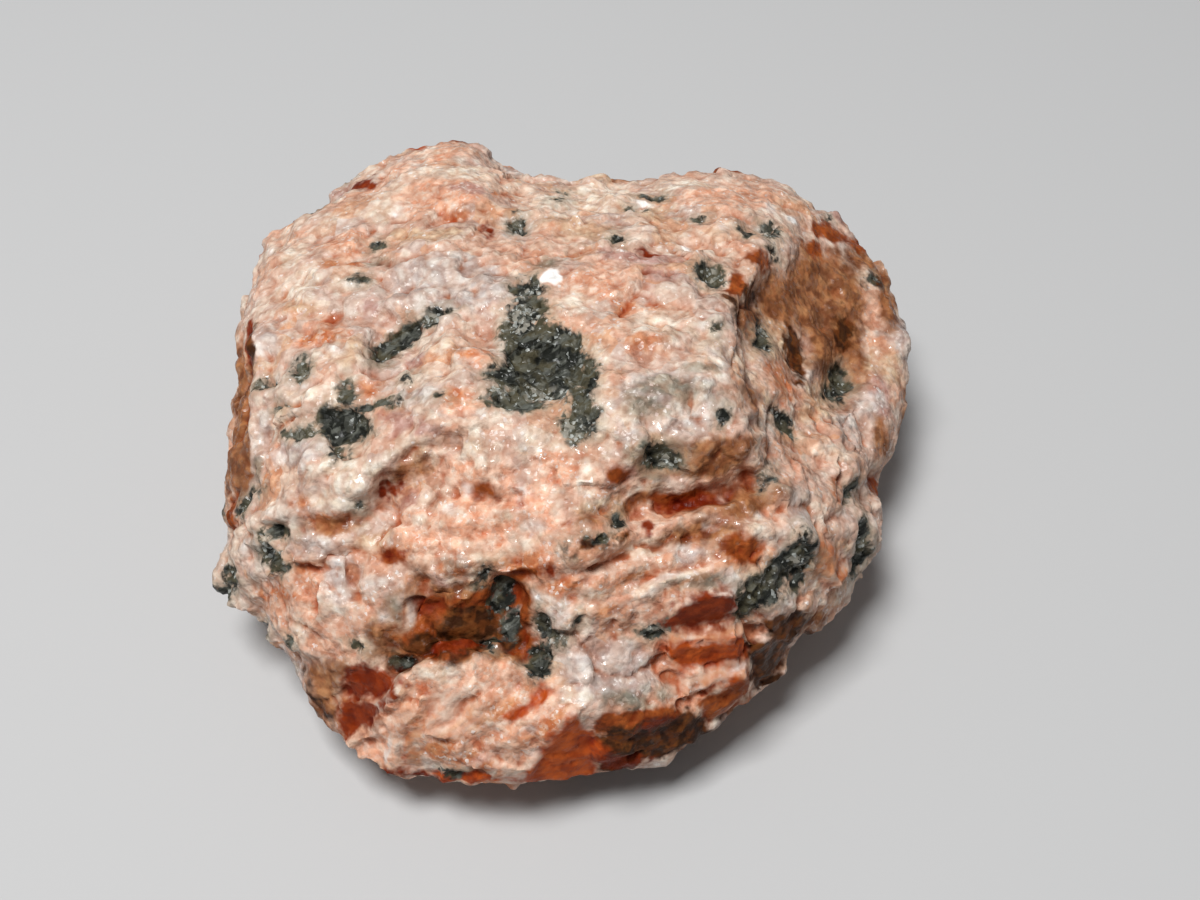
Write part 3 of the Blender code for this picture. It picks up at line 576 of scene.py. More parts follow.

# %% [markdown]
# ## Minerals in their places
#
# The stone is a patchwork: salmon, orange and red feldspar, cream and white grains, grey quartz,
# a greenish grey mineral, mauve and tan parts, and brown quartz. Some maps also carry painted light:
# the umber and brown ovals, and a few rust and red ones, paint shade in the basin, under the step and
# the ledge, along the left side, in the hollow and along the underside at the front, and the white
# and chalk ovals paint highlights as well as white grains. Each mineral has a list of ovals that
# show where it lies in the picture. A ray through the middle of an oval finds its place on the
# stone, so every grain is a body in space that the surface cuts through. On the sides that the
# picture doesn't show, the same minerals are scattered with a fixed seed.

# %% Minerals in their places
SPOTS = {
    # place across and down in the picture, half width, half height, and the turn in degrees if any
    "salmon": [
        (440, 198, 44, 16), (345, 245, 30, 12), (300, 235, 14, 10), (530, 255, 20, 26),
        (545, 232, 22, 10, 40), (600, 285, 34, 18), (720, 195, 46, 16), (700, 262, 16, 8),
        (740, 245, 18, 10), (480, 470, 34, 20), (420, 560, 22, 12), (300, 590, 40, 16),
        (352, 622, 14, 11), (330, 700, 20, 36), (420, 708, 26, 16), (600, 470, 20, 14),
        (580, 590, 30, 12), (620, 575, 40, 10, 12), (700, 535, 36, 18), (750, 548, 26, 14),
        (880, 330, 16, 30), (380, 410, 26, 12), (620, 560, 120, 46, 12), (330, 600, 80, 60),
        (450, 735, 110, 46, 10), (700, 650, 90, 70), (740, 500, 60, 40), (330, 330, 20, 12),
        (500, 690, 34, 14, 35), (800, 470, 20, 14), (845, 478, 12, 14), (575, 450, 16, 26),
        (450, 430, 20, 8), (460, 720, 50, 30, 30), (520, 600, 60, 40),
    ],
    "peach": [
        (455, 716, 104, 46, 20), (520, 730, 50, 34, 20), (520, 742, 30, 24), (380, 740, 40, 26, 20),
        (700, 670, 50, 50), (500, 515, 66, 34, 8), (440, 540, 50, 16), (480, 470, 34, 20),
        (418, 520, 36, 12), (535, 560, 24, 12), (445, 676, 44, 12, 5), (390, 712, 34, 18, 30),
        (450, 715, 34, 22), (515, 735, 34, 14, 30), (440, 195, 46, 20), (430, 155, 24, 9),
        (345, 243, 34, 12), (345, 605, 30, 16), (305, 598, 34, 22), (832, 455, 22, 14),
        (600, 285, 36, 20), (735, 195, 44, 14), (560, 330, 18, 14), (560, 470, 24, 30),
        (320, 335, 30, 10), (480, 360, 14, 12), (470, 405, 24, 14), (600, 590, 40, 12, 15),
        (520, 690, 24, 12, 35),
    ],
    "tan": [
        (752, 398, 16, 44, -15), (722, 470, 40, 14), (770, 330, 24, 40), (468, 278, 24, 11),
        (300, 307, 18, 7), (352, 345, 14, 13), (345, 362, 14, 8), (368, 543, 24, 14),
        (420, 458, 12, 13), (560, 225, 22, 14), (600, 232, 22, 11), (662, 212, 20, 12),
        (285, 412, 12, 7), (605, 505, 28, 8, 15), (660, 522, 26, 7, 10), (658, 585, 14, 9),
        (748, 555, 14, 10), (807, 306, 7, 9), (806, 362, 8, 8), (770, 300, 18, 14), (884, 362, 24, 20),
        (430, 235, 40, 9), (835, 555, 16, 24), (820, 400, 26, 20), (500, 368, 9, 8), (620, 395, 20, 10),
        (755, 350, 10, 8), (660, 440, 18, 8), (812, 415, 18, 10),
    ],
    "mauve": [
        (640, 258, 42, 8), (600, 250, 14, 6), (660, 278, 18, 10), (414, 361, 12, 12),
        (400, 422, 20, 14), (410, 500, 16, 9), (372, 305, 10, 10), (428, 432, 14, 10),
        (620, 476, 18, 9), (470, 752, 24, 7), (440, 588, 14, 8), (715, 465, 14, 8), (520, 505, 9, 16),
        (730, 455, 14, 10), (470, 190, 22, 8), (345, 190, 22, 6, 15), (880, 395, 10, 30),
    ],
    "grey": [
        (430, 282, 46, 26), (470, 303, 30, 14, 20), (298, 452, 36, 13), (262, 432, 11, 20),
        (312, 543, 28, 16), (252, 546, 14, 10), (402, 608, 20, 24), (376, 585, 14, 9),
        (612, 672, 52, 30, 5), (668, 400, 56, 34), (450, 285, 70, 34), (803, 512, 13, 20, -30),
        (338, 575, 14, 26), (720, 362, 12, 28), (750, 400, 12, 40, -15), (515, 224, 14, 15),
        (690, 560, 15, 14), (728, 584, 20, 8), (552, 612, 16, 18), (850, 418, 14, 16),
        (872, 402, 14, 20), (270, 338, 12, 22), (610, 215, 18, 10), (420, 395, 22, 12),
        (775, 492, 12, 14), (636, 436, 18, 9),
    ],
    "green": [
        (668, 388, 34, 14, -5), (640, 402, 16, 18), (702, 372, 16, 6), (655, 410, 12, 6),
        (640, 452, 18, 12), (655, 478, 14, 10), (700, 582, 24, 6), (622, 697, 22, 10),
        (640, 704, 16, 14), (658, 692, 12, 8), (500, 652, 20, 7), (402, 672, 12, 9), (252, 470, 8, 16),
        (450, 566, 14, 9), (864, 508, 9, 9), (866, 535, 7, 12), (380, 360, 12, 9), (545, 262, 20, 8),
        (380, 262, 12, 7),
    ],
    "orange": [
        (520, 565, 30, 12, 10), (560, 585, 24, 8, 15), (455, 570, 18, 8), (340, 264, 26, 5),
        (330, 318, 12, 6), (320, 336, 26, 6), (370, 386, 15, 10), (456, 396, 13, 9), (467, 355, 13, 5),
        (245, 412, 9, 26), (506, 192, 15, 9), (455, 215, 16, 7), (625, 304, 18, 8), (657, 304, 7, 6),
        (648, 345, 19, 8), (782, 392, 14, 12), (770, 450, 12, 10), (788, 440, 10, 8), (269, 483, 9, 5),
        (302, 506, 13, 9), (326, 521, 24, 6), (302, 570, 12, 10), (280, 592, 20, 9), (262, 602, 10, 10),
        (393, 553, 22, 7), (520, 578, 22, 8, 25), (730, 556, 11, 11), (604, 612, 18, 9),
        (640, 573, 30, 3, 8), (490, 762, 13, 7), (412, 752, 6, 20), (604, 738, 14, 8),
        (838, 492, 12, 12), (700, 470, 14, 8), (500, 525, 9, 5), (590, 560, 20, 5, 15),
        (430, 640, 12, 18), (512, 704, 24, 6, 45), (452, 722, 24, 10, 20),
        (424, 714, 34, 17), (450, 750, 36, 10, 10), (392, 722, 22, 10, 35), (545, 726, 30, 8, 40),
    ],
    # painted shade: the umber ovals in the basin, the hollow, under the ledge and the step and along the left
    # side darken the colour where shade falls
    "umber_and_shade": [
        (822, 300, 44, 60), (836, 350, 34, 50), (780, 300, 26, 30), (455, 622, 78, 40),
        (450, 600, 60, 16, 5), (400, 645, 34, 24, -20), (490, 655, 44, 10), (520, 610, 14, 26),
        (745, 500, 46, 14, 12), (700, 535, 40, 10, 12), (752, 322, 18, 24), (700, 459, 62, 18, 8),
        (750, 395, 12, 20), (238, 440, 12, 60), (735, 302, 14, 7), (884, 300, 12, 40),
        (246, 430, 9, 90), (242, 380, 10, 40), (410, 468, 20, 10, 40), (330, 526, 26, 5),
        (860, 262, 16, 12), (815, 625, 18, 16), (882, 440, 9, 26), (322, 692, 16, 30),
        (420, 590, 10, 14), (625, 510, 40, 6, 15),
    ],
    # partly painted shade: the rust ovals in the hollow and along the underside at the front darken it where
    # shade falls
    "rust": [
        (368, 698, 30, 34, 20), (738, 284, 14, 16), (762, 262, 14, 12), (830, 232, 24, 11),
        (815, 250, 14, 12), (858, 246, 18, 8, -25), (690, 500, 40, 8, 12), (752, 478, 10, 8),
        (235, 515, 6, 24), (395, 555, 16, 7), (520, 578, 20, 8, 25), (430, 622, 34, 22),
        (480, 610, 34, 12), (445, 650, 36, 10), (640, 722, 46, 16, 8), (604, 745, 16, 16),
        (748, 548, 20, 16), (620, 476, 14, 7), (418, 765, 5, 8),
        (506, 612, 26, 30), (520, 640, 22, 14),
    ],
    # brown quartz, and painted shade: the brown ovals in the hollow, under the step and along the underside
    # at the front stand for shade
    "brown_and_shade": [
        (392, 484, 12, 6, 40), (402, 336, 16, 7, 35), (253, 348, 6, 24), (468, 622, 40, 14),
        (446, 644, 40, 14, -10), (505, 632, 18, 18), (400, 662, 22, 10, -10), (752, 300, 12, 22),
        (648, 738, 64, 24, 8), (700, 728, 36, 16, 20), (620, 762, 30, 12, 8), (590, 768, 30, 8, 10),
        (795, 350, 10, 34, 10), (588, 546, 18, 5, 20), (622, 536, 16, 4, 15), (662, 735, 52, 12, 8),
        (780, 640, 28, 24, 30), (765, 672, 18, 18), (735, 312, 8, 14), (385, 352, 10, 8),
        (870, 282, 12, 8), (845, 330, 12, 20), (800, 375, 10, 8), (322, 700, 14, 24),
        (310, 680, 12, 16), (642, 746, 40, 14, 8),
    ],
    "ember": [
        (572, 750, 30, 32), (412, 752, 6, 20), (700, 652, 40, 12),
        (722, 698, 22, 20), (470, 775, 40, 6, -4),
    ],
    # partly painted shade: the red ovals in the hollow and along the bottom edge darken it where shade falls
    "red": [
        (364, 184, 15, 7, 15), (489, 231, 8, 7), (650, 250, 9, 5), (392, 490, 12, 8, 30),
        (395, 556, 14, 5), (545, 574, 7, 6), (650, 530, 11, 7), (455, 650, 20, 6),
        (700, 500, 22, 5, 12), (425, 612, 10, 7), (250, 345, 6, 28), (620, 758, 30, 12),
        (405, 772, 40, 6, -8), (660, 722, 20, 8),
    ],
    "cream": [
        (268, 250, 11, 13), (328, 222, 13, 7, 10), (383, 213, 20, 10), (460, 172, 32, 9),
        (428, 152, 14, 8, 30), (292, 258, 12, 20), (348, 286, 13, 6), (336, 348, 15, 9, 15),
        (278, 380, 9, 9), (305, 396, 38, 8), (345, 378, 14, 8), (455, 315, 16, 6, 20),
        (440, 345, 12, 10), (420, 378, 14, 10), (600, 192, 42, 9), (580, 205, 46, 16),
        (300, 285, 26, 20), (655, 330, 30, 30), (635, 205, 16, 8),
        (688, 243, 13, 15), (726, 228, 9, 7), (680, 186, 34, 8, 5), (697, 330, 17, 12),
        (712, 353, 15, 16), (714, 378, 9, 12), (570, 300, 22, 17), (606, 355, 10, 8),
        (690, 400, 16, 10), (642, 416, 34, 9), (603, 432, 14, 22), (505, 520, 22, 8, 8),
        (420, 522, 26, 7), (480, 545, 14, 6), (452, 512, 12, 8), (330, 471, 30, 8, 10),
        (385, 458, 26, 6, 38), (350, 483, 16, 14), (322, 503, 18, 9), (520, 541, 16, 12),
        (560, 500, 12, 14), (585, 478, 10, 22), (655, 548, 28, 9, 15), (678, 577, 38, 5, 12),
        (652, 590, 18, 6, 15), (790, 598, 16, 8, 8), (810, 502, 9, 7), (832, 455, 20, 13),
        (760, 528, 12, 18), (540, 600, 14, 9), (592, 604, 20, 12, 15), (430, 602, 10, 8),
        (383, 618, 12, 12), (385, 642, 20, 12), (342, 604, 18, 10), (300, 626, 10, 16),
        (445, 673, 30, 7, 5), (520, 772, 14, 8), (428, 766, 10, 8),
        (575, 700, 22, 8, 20), (640, 500, 22, 6, 15), (478, 452, 18, 14), (540, 440, 24, 12),
    ],
    # painted highlights: the white ovals are white grains and small painted glints
    "white_grain_and_glint": [
        (641, 203, 9, 5), (795, 218, 8, 6), (772, 208, 7, 6), (762, 222, 5, 4), (352, 286, 8, 4),
        (393, 214, 6, 4), (445, 253, 4, 3), (283, 320, 9, 4), (307, 359, 6, 4), (277, 379, 6, 6),
        (338, 347, 9, 5), (456, 315, 7, 4), (383, 303, 4, 5), (468, 490, 5, 5), (523, 487, 5, 8),
        (453, 510, 7, 5), (535, 528, 9, 7), (537, 601, 7, 5), (688, 242, 6, 8), (700, 326, 7, 6),
        (712, 353, 6, 7), (720, 230, 5, 4), (711, 529, 7, 3), (720, 495, 4, 3), (668, 577, 16, 3, 12),
        (650, 592, 8, 3, 20), (765, 512, 4, 3), (790, 597, 9, 5), (388, 750, 3, 18, -5),
        (533, 728, 7, 5), (577, 657, 5, 3), (580, 680, 5, 3), (577, 701, 5, 3), (428, 765, 5, 5),
        (512, 776, 7, 4), (535, 751, 5, 4), (697, 690, 7, 3, 35), (740, 667, 10, 3, 15),
        (384, 617, 6, 6), (507, 618, 3, 7, -30), (300, 388, 16, 4), (268, 250, 5, 5),
        (318, 545, 12, 4),
    ],
    # painted highlights: the chalk ovals are the brightest glints, laid in near white
    "chalk_and_glint": [
        (551, 276, 11, 10), (796, 219, 6, 4), (641, 202, 5, 3), (393, 214, 4, 3), (688, 242, 4, 6),
        (537, 601, 4, 3),
    ],
    "dark": [
        (378, 242, 7, 7), (362, 281, 9, 5, 20), (318, 211, 14, 6, 25), (517, 222, 9, 13),
        (563, 190, 6, 4), (561, 203, 5, 3), (652, 197, 8, 3), (633, 210, 8, 3), (617, 239, 9, 5),
        (700, 218, 4, 3), (828, 220, 3, 3), (750, 230, 8, 9), (773, 227, 12, 10), (775, 252, 5, 6),
        (708, 278, 15, 13), (762, 335, 11, 18), (870, 281, 8, 5), (840, 378, 13, 15), (832, 388, 13, 8),
        (783, 423, 20, 8, -48), (722, 415, 5, 9), (715, 330, 5, 4), (527, 285, 17, 13),
        (525, 310, 20, 20), (519, 332, 20, 16), (548, 350, 46, 28, -20), (542, 375, 54, 20),
        (512, 399, 30, 12), (578, 412, 18, 28), (590, 376, 13, 24), (432, 315, 17, 9, 20),
        (397, 341, 29, 10, 38), (302, 370, 11, 13), (266, 385, 10, 6), (281, 410, 5, 4),
        (348, 395, 8, 14), (343, 424, 28, 16), (302, 434, 22, 7), (375, 405, 26, 4, 8),
        (340, 450, 7, 9), (404, 383, 4, 4), (441, 399, 4, 3), (245, 505, 6, 16, -25), (258, 490, 6, 5),
        (272, 533, 18, 5, 8), (270, 552, 12, 10), (280, 560, 8, 10), (233, 577, 9, 14),
        (227, 594, 8, 14, -35), (262, 630, 8, 10, -40), (291, 645, 5, 7), (358, 646, 8, 4, -20),
        (360, 507, 5, 6), (663, 458, 17, 14), (648, 448, 8, 8), (617, 520, 6, 9), (600, 537, 12, 4, 20),
        (566, 550, 4, 4), (484, 579, 7, 14, -35), (498, 602, 8, 17, -20), (508, 628, 9, 16, -10),
        (490, 640, 15, 8), (545, 628, 8, 18, 12), (557, 641, 9, 8, 30), (578, 622, 4, 4),
        (540, 662, 13, 18), (490, 657, 4, 3), (655, 632, 16, 7, 10), (674, 617, 14, 4, 25),
        (806, 540, 11, 17, -15), (793, 566, 26, 16, 20), (764, 586, 30, 16, 15), (748, 603, 16, 15),
        (802, 582, 13, 9), (852, 489, 8, 13, -20), (860, 536, 9, 18), (864, 560, 13, 17),
        (772, 465, 4, 4), (770, 484, 6, 5), (404, 660, 14, 6), (455, 772, 13, 6),
    ],
    "speckled": [
        (530, 287, 14, 6, 30), (522, 316, 16, 20), (496, 395, 16, 10), (575, 424, 15, 18),
        (303, 432, 16, 6), (768, 575, 16, 10), (797, 568, 18, 10), (655, 630, 12, 5), (272, 545, 14, 8),
        (432, 315, 14, 7), (302, 372, 8, 9), (708, 276, 9, 8), (516, 222, 9, 12), (858, 540, 8, 12),
        (768, 226, 10, 8), (560, 640, 9, 9), (668, 462, 8, 8), (266, 385, 9, 5), (542, 388, 14, 8),
        (763, 330, 6, 10),
    ],
}
SCATTERED = {
    # how many on the sides that the picture doesn't show, smallest and largest half size in mm
    "salmon": (40, 0.8, 2.4), "peach": (30, 0.8, 2.2), "tan": (18, 0.6, 1.6), "mauve": (16, 0.5, 1.6),
    "grey": (34, 0.7, 2.2), "green": (12, 0.4, 1.2), "orange": (34, 0.4, 1.8), "umber_and_shade": (16, 0.6, 2.0),
    "rust": (20, 0.4, 1.8), "brown_and_shade": (10, 0.4, 1.3), "ember": (10, 0.4, 1.3), "red": (10, 0.4, 1.3),
    "cream": (48, 0.5, 1.8), "white_grain_and_glint": (40, 0.12, 0.36), "chalk_and_glint": (5, 0.12, 0.30),
    "dark": (110, 0.16, 0.9), "speckled": (36, 0.3, 0.9),
}
OUTSIDE_MM = -2.0
SINK_SHARE = 1.6
SLIMMEST, FATTEST = 0.45, 0.9
SMALL_BIAS = 2.0
LOWEST_GRAIN = 0.3 * MM


def add_oval(depth, centre, axes, radii):
    """Raises the depth, in mm, of the points that lie in or near an oval grain."""
    near = np.flatnonzero((np.abs(grain_coords - centre) < radii.max() + 1.5 * MM).all(axis=1))
    reach = np.linalg.norm(((grain_coords[near] - centre) @ axes.T) / radii, axis=1)
    depth[near] = np.maximum(depth[near], (1.0 - reach) * radii[:2].mean() / MM)


def add_spot(depth, across_px, down_px, half_width, half_height, turn=0.0):
    """Adds a grain that is placed by where it shows."""
    centre = tree.ray_cast(EYE, sight_through(across_px, down_px))[0]
    if centre is None:
        print("no stone at", across_px, down_px)
        return
    cos, sin = math.cos(math.radians(turn)), math.sin(math.radians(turn))
    axes = np.array([ACROSS * cos + UP * sin, UP * cos - ACROSS * sin, BACK])
    size = PX * (centre - EYE).length / VIEW_DISTANCE
    radii = np.array([half_width, half_height, SINK_SHARE * max(half_width, half_height)]) * size
    add_oval(depth, np.array(centre), axes, radii)


def add_scattered(depth, count, smallest_mm, largest_mm):
    """Adds grains at random places on the sides that the picture doesn't show."""
    unseen = np.flatnonzero((seen == 0) & (start_coords[:, 2] > LOWEST_GRAIN))
    for _ in range(count):
        centre = start_coords[unseen[draw.randrange(len(unseen))]]
        size = smallest_mm + (largest_mm - smallest_mm) * draw.random() ** SMALL_BIAS
        shape = (1.0, draw.uniform(SLIMMEST, FATTEST), draw.uniform(SLIMMEST, FATTEST))
        way = Vector([draw.gauss(0, 1) for _ in range(3)])
        turned = Matrix.Rotation(draw.uniform(0, math.pi), 3, way)
        add_oval(depth, centre, np.array(turned), np.array(shape) * size * MM)


draw = random.Random(41)
grain_coords = start_coords + warp * 0.28 * MM
depths = {}
for mineral, spots in SPOTS.items():
    depths[mineral] = np.full(COUNT, OUTSIDE_MM)
    for spot in spots:
        add_spot(depths[mineral], *spot)
    add_scattered(depths[mineral], *SCATTERED[mineral])
for mineral, depth in face_depths:
    for other in depths:
        if other == mineral:
            depths[other] = np.maximum(depths[other], depth)
        elif other not in ("white_grain_and_glint", "chalk_and_glint"):
            depths[other] = np.minimum(depths[other], -depth)
print("grains placed by hand:", sum(len(spots) for spots in SPOTS.values()))

# %% [markdown]
# ## Putting the relief together
#
# The dark grains are a softer mineral that crumbles out, so each one is sunk into a shallow pit,
# and its flakes stand up steeply. All the other moves are added up, held back on the clean faces,
# and let fade out where the stone rests, so that the flat spot stays flat. A short smoothing blunts
# the crumbs but leaves the clean faces crisp. The result stays inside the box of the solid.

# %% Putting the relief together
PIT_DEPTH = 0.20 * MM
PIT_FROM_MM, PIT_FULL_MM = -0.08, 0.3
REST_FADE_LOW, REST_FADE_HIGH = 0.05 * MM, 0.6 * MM
CLEAN_HELD_BACK = 0.92
INSET = 0.01 * MM
BLUNT_PASSES = 2

in_dark = smooth_step(PIT_FROM_MM, PIT_FULL_MM, depths["dark"])
rough = lumps + (knobs + crumbs + faces) * worn + bands + flutes
relief = rough * (1.0 - CLEAN_HELD_BACK * clean) + strokes * seen + (flakes - PIT_DEPTH) * in_dark
relief *= smooth_step(REST_FADE_LOW, REST_FADE_HIGH, start_coords[:, 2])
sharp_coords = start_coords + start_normals * relief[:, None]
write_coords(sharp_coords)
pick_only(stone)
blunt = stone.modifiers.new("blunt", "SMOOTH")
blunt.factor, blunt.iterations = 0.5, BLUNT_PASSES
bpy.ops.object.modifier_apply(modifier="blunt")
crisp = clean[:, None]
coords = read_coords(stone.data) * (1.0 - crisp) + sharp_coords * crisp
coords = np.clip(coords, box_low + np.array((INSET, INSET, 0.0)), box_high - INSET)
write_coords(coords)
print("relief from", round(relief.min() / MM, 2), "to", round(relief.max() / MM, 2), "mm")

# %% [markdown]
# ## Maps on the mesh
#
# The material needs to know which mineral is where. The depths are kept on the vertices, one map
# for each mineral, with a few more: how clean a face is, where the grain is drawn out, and how deep
# in a hollow a vertex lies. The last comes from comparing the surface with a smoothed copy of
# itself. The material paints shade and stain into the hollows, and edges are rubbed pale.

# %% Maps on the mesh
DEEPEST_MM = 1.5
HOLLOW_PASSES = 22
HOLLOW_UNIT = 0.1 * MM
HOLLOW_LIMIT = 3.0
TRIANGLE_GOAL = 190000


def hollow_depth():
    """Returns how far each vertex lies below the smoothed surface round it, in tenths of a mm."""
    rounded = stone.copy()
    rounded.data = stone.data.copy()
    bpy.context.scene.collection.objects.link(rounded)
    pick_only(rounded)
    even = rounded.modifiers.new("even", "SMOOTH")
    even.factor, even.iterations = 0.5, HOLLOW_PASSES
    bpy.ops.object.modifier_apply(modifier="even")
    level = read_coords(rounded.data)
    bpy.data.objects.remove(rounded, do_unlink=True)
    return ((level - coords) * read_normals(stone.data)).sum(axis=1) / HOLLOW_UNIT


def keep_map(name, values):
    """Keeps one number for each vertex on the mesh, under a name that the material reads."""
    layer = stone.data.attributes.new(name, "FLOAT", "POINT")
    layer.data.foreach_set("value", values.astype(np.float32))


for mineral, depth in depths.items():
    keep_map(mineral, np.clip(depth, OUTSIDE_MM, DEEPEST_MM))
keep_map("hollow", np.clip(hollow_depth(), -HOLLOW_LIMIT, HOLLOW_LIMIT))
keep_map("clean", clean)
keep_map("banded", banded)
keep_map("fluted", fluted)
pick_only(stone)
thinned = stone.modifiers.new("thinned", "DECIMATE")
thinned.ratio = TRIANGLE_GOAL / (2 * len(stone.data.polygons))
bpy.ops.object.modifier_apply(modifier="thinned")
print("triangles after thinning:", len(stone.data.polygons))

# %% [markdown]
# ## The feldspar material
#
# Colour comes in layers, from large to small. Soft clouds shift the pink towards salmon, cream and
# quartz grey. Each mineral map is then cut with noise that is far finer than the mesh, so that its
# edge breaks up into grains. Small clouds make the sugar of single crystals, hollows get painted
# shade and stain, and the dark grains come last. Every pattern reads Object coordinates, so it has
# its real size in the stone and sits still from every side.

# %% Small helpers for the nodes
material = bpy.data.materials.new("feldspar")
material.use_nodes = True
nodes, links = material.node_tree.nodes, material.node_tree.links
shader = nodes["Principled BSDF"]
object_place = nodes.new("ShaderNodeTexCoord").outputs["Object"]


def plug(value, socket):
    """Links a socket to an input, or sets the input to a plain value."""
    if isinstance(value, bpy.types.NodeSocket):
        links.new(value, socket)
    else:
        socket.default_value = value


def sums(operation, *values):
    """Returns the outcome of a Math node."""
    maths = nodes.new("ShaderNodeMath")
    maths.operation = operation
    for value, socket in zip(values, maths.inputs):
        plug(value, socket)
    return maths.outputs["Value"]


def arrows(operation, *values):
    """Returns the outcome of a Vector Math node."""
    maths = nodes.new("ShaderNodeVectorMath")
    maths.operation = operation
    for value, socket in zip(values, maths.inputs):
        plug(value, socket)
    return maths.outputs["Value" if operation == "DOT_PRODUCT" else "Vector"]


def noise_texture(size_mm, detail, place):
    """Returns a Noise Texture node with clouds of one size."""
    texture = nodes.new("ShaderNodeTexNoise")
    texture.inputs["Scale"].default_value = 1.0 / (size_mm * MM)
    texture.inputs["Detail"].default_value = detail
    links.new(place or object_place, texture.inputs["Vector"])
    return texture


def cloud(size_mm, detail=3.0, place=None):
    """Returns soft noise from 0 to 1."""
    return noise_texture(size_mm, detail, place).outputs["Fac"]


def bent(size_mm, reach_mm):
    """Returns the place bent by noise, so that cells get ragged edges."""
    lots = arrows("SUBTRACT", noise_texture(size_mm, 3.0, None).outputs["Color"], HALF)
    return arrows("MULTIPLY_ADD", lots, (reach_mm * 2 * MM,) * 3, object_place)


def drawn_out(degrees, stretch):
    """Returns the place squeezed along a direction that rises right, so that clouds come out long."""
    way = rising_right(degrees)
    along = arrows("DOT_PRODUCT", object_place, way)
    back = arrows("SCALE", tuple(way * (1.0 - 1.0 / stretch)))
    links.new(along, back.node.inputs["Scale"])
    return arrows("SUBTRACT", object_place, back)


def cells(size_mm, place):
    """Returns three random numbers for each cell, as a colour."""
    texture = nodes.new("ShaderNodeTexVoronoi")
    texture.inputs["Scale"].default_value = 1.0 / (size_mm * MM)
    links.new(place, texture.inputs["Vector"])
    return texture.outputs["Color"]


def domes(size_mm, place):
    """Returns 0 in the middle of each cell and more towards its edge."""
    texture = nodes.new("ShaderNodeTexVoronoi")
    texture.inputs["Scale"].default_value = 1.0 / (size_mm * MM)
    links.new(place, texture.inputs["Vector"])
    return texture.outputs["Distance"]


def seams(size_mm, place):
    """Returns 0 along the borders between cells and more inside them."""
    texture = nodes.new("ShaderNodeTexVoronoi")
    texture.feature = "DISTANCE_TO_EDGE"
    texture.inputs["Scale"].default_value = 1.0 / (size_mm * MM)
    links.new(place, texture.inputs["Vector"])
    return texture.outputs["Distance"]


def channels(colour):
    """Splits a colour into its three numbers."""
    split = nodes.new("ShaderNodeSeparateColor")
    links.new(colour, split.inputs["Color"])
    return split.outputs["Red"], split.outputs["Green"], split.outputs["Blue"]


def rise(value, low, high, top=1.0):
    """Returns 0 below low and top above high, with a soft slope between."""
    span = nodes.new("ShaderNodeMapRange")
    span.interpolation_type = "SMOOTHSTEP"
    plug(value, span.inputs["Value"])
    span.inputs["From Min"].default_value = low
    span.inputs["From Max"].default_value = high
    span.inputs["To Max"].default_value = top
    return span.outputs["Result"]


def blend(factor, first, second, kind="MIX"):
    """Returns the second colour over the first."""
    mixer = nodes.new("ShaderNodeMix")
    mixer.data_type = "RGBA"
    mixer.blend_type = kind
    plug(factor, mixer.inputs["Factor"])
    plug(first, mixer.inputs[6])
    plug(second, mixer.inputs[7])
    return mixer.outputs[2]


def map_of(name):
    """Returns one of the maps kept on the vertices."""
    reader = nodes.new("ShaderNodeAttribute")
    reader.attribute_name = name
    return reader.outputs["Fac"]


HALF = (0.5, 0.5, 0.5)
print("the helpers are ready for material", material.name)

# %% The ground colours
PINK = (0.77, 0.59, 0.49, 1.0)
SALMON = (0.79, 0.48, 0.33, 1.0)
CREAM = (0.94, 0.86, 0.72, 1.0)
ORANGE = (0.74, 0.38, 0.17, 1.0)
QUARTZ = (0.64, 0.57, 0.53, 1.0)
CRYSTAL_MM = 1.5

crystal_r, crystal_g, crystal_b = channels(cells(CRYSTAL_MM, bent(1.4, 0.45)))
broad = blend(rise(cloud(2.6, 2.0), 0.42, 0.60, 0.75), PINK, SALMON)
broad = blend(rise(crystal_r, 0.58, 0.72, 0.50), broad, CREAM)
broad = blend(rise(crystal_g, 0.64, 0.76, 0.50), broad, QUARTZ)
broad = blend(rise(crystal_b, 0.80, 0.90, 0.45), broad, ORANGE)
colour = blend(rise(cloud(0.95), 0.54, 0.66, 0.45), broad, CREAM)
print("ground colours: pink, salmon, cream, quartz and orange, in crystals of", CRYSTAL_MM, "mm")

# %% [markdown]
# ## Painting the minerals
#
# Each mineral is laid over the ones before it. Its map is a depth in mm: more than 0 inside a
# grain. Noise shifts the depth by up to half a millimetre before it is cut, which gives the
# interlocking edges of real grains. No grain is one flat colour, so each mineral has two tones that
# drift into each other. On the clean faces the noise is held back, so the edges stay straighter.

# %% Painting the minerals
LIGHT_MINERALS = [
    # mineral, its two tones, how fully it covers, and how ragged its edge is in mm
    ("tan", (0.66, 0.45, 0.28, 1.0), (0.80, 0.62, 0.42, 1.0), 0.80, 1.7),
    ("peach", (0.98, 0.61, 0.43, 1.0), (0.94, 0.48, 0.30, 1.0), 0.90, 1.7),
    ("salmon", (0.79, 0.42, 0.27, 1.0), (0.83, 0.59, 0.45, 1.0), 0.75, 1.7),
    ("mauve", (0.48, 0.27, 0.24, 1.0), (0.62, 0.42, 0.38, 1.0), 0.80, 1.8),
    ("grey", (0.56, 0.51, 0.49, 1.0), (0.80, 0.75, 0.70, 1.0), 0.85, 2.2),
    ("cream", (0.96, 0.90, 0.78, 1.0), (0.89, 0.77, 0.61, 1.0), 0.85, 1.7),
    ("green", (0.22, 0.22, 0.17, 1.0), (0.42, 0.37, 0.28, 1.0), 0.85, 1.7),
    ("orange", (0.66, 0.28, 0.125, 1.0), (0.60, 0.19, 0.065, 1.0), 0.90, 1.6),
]
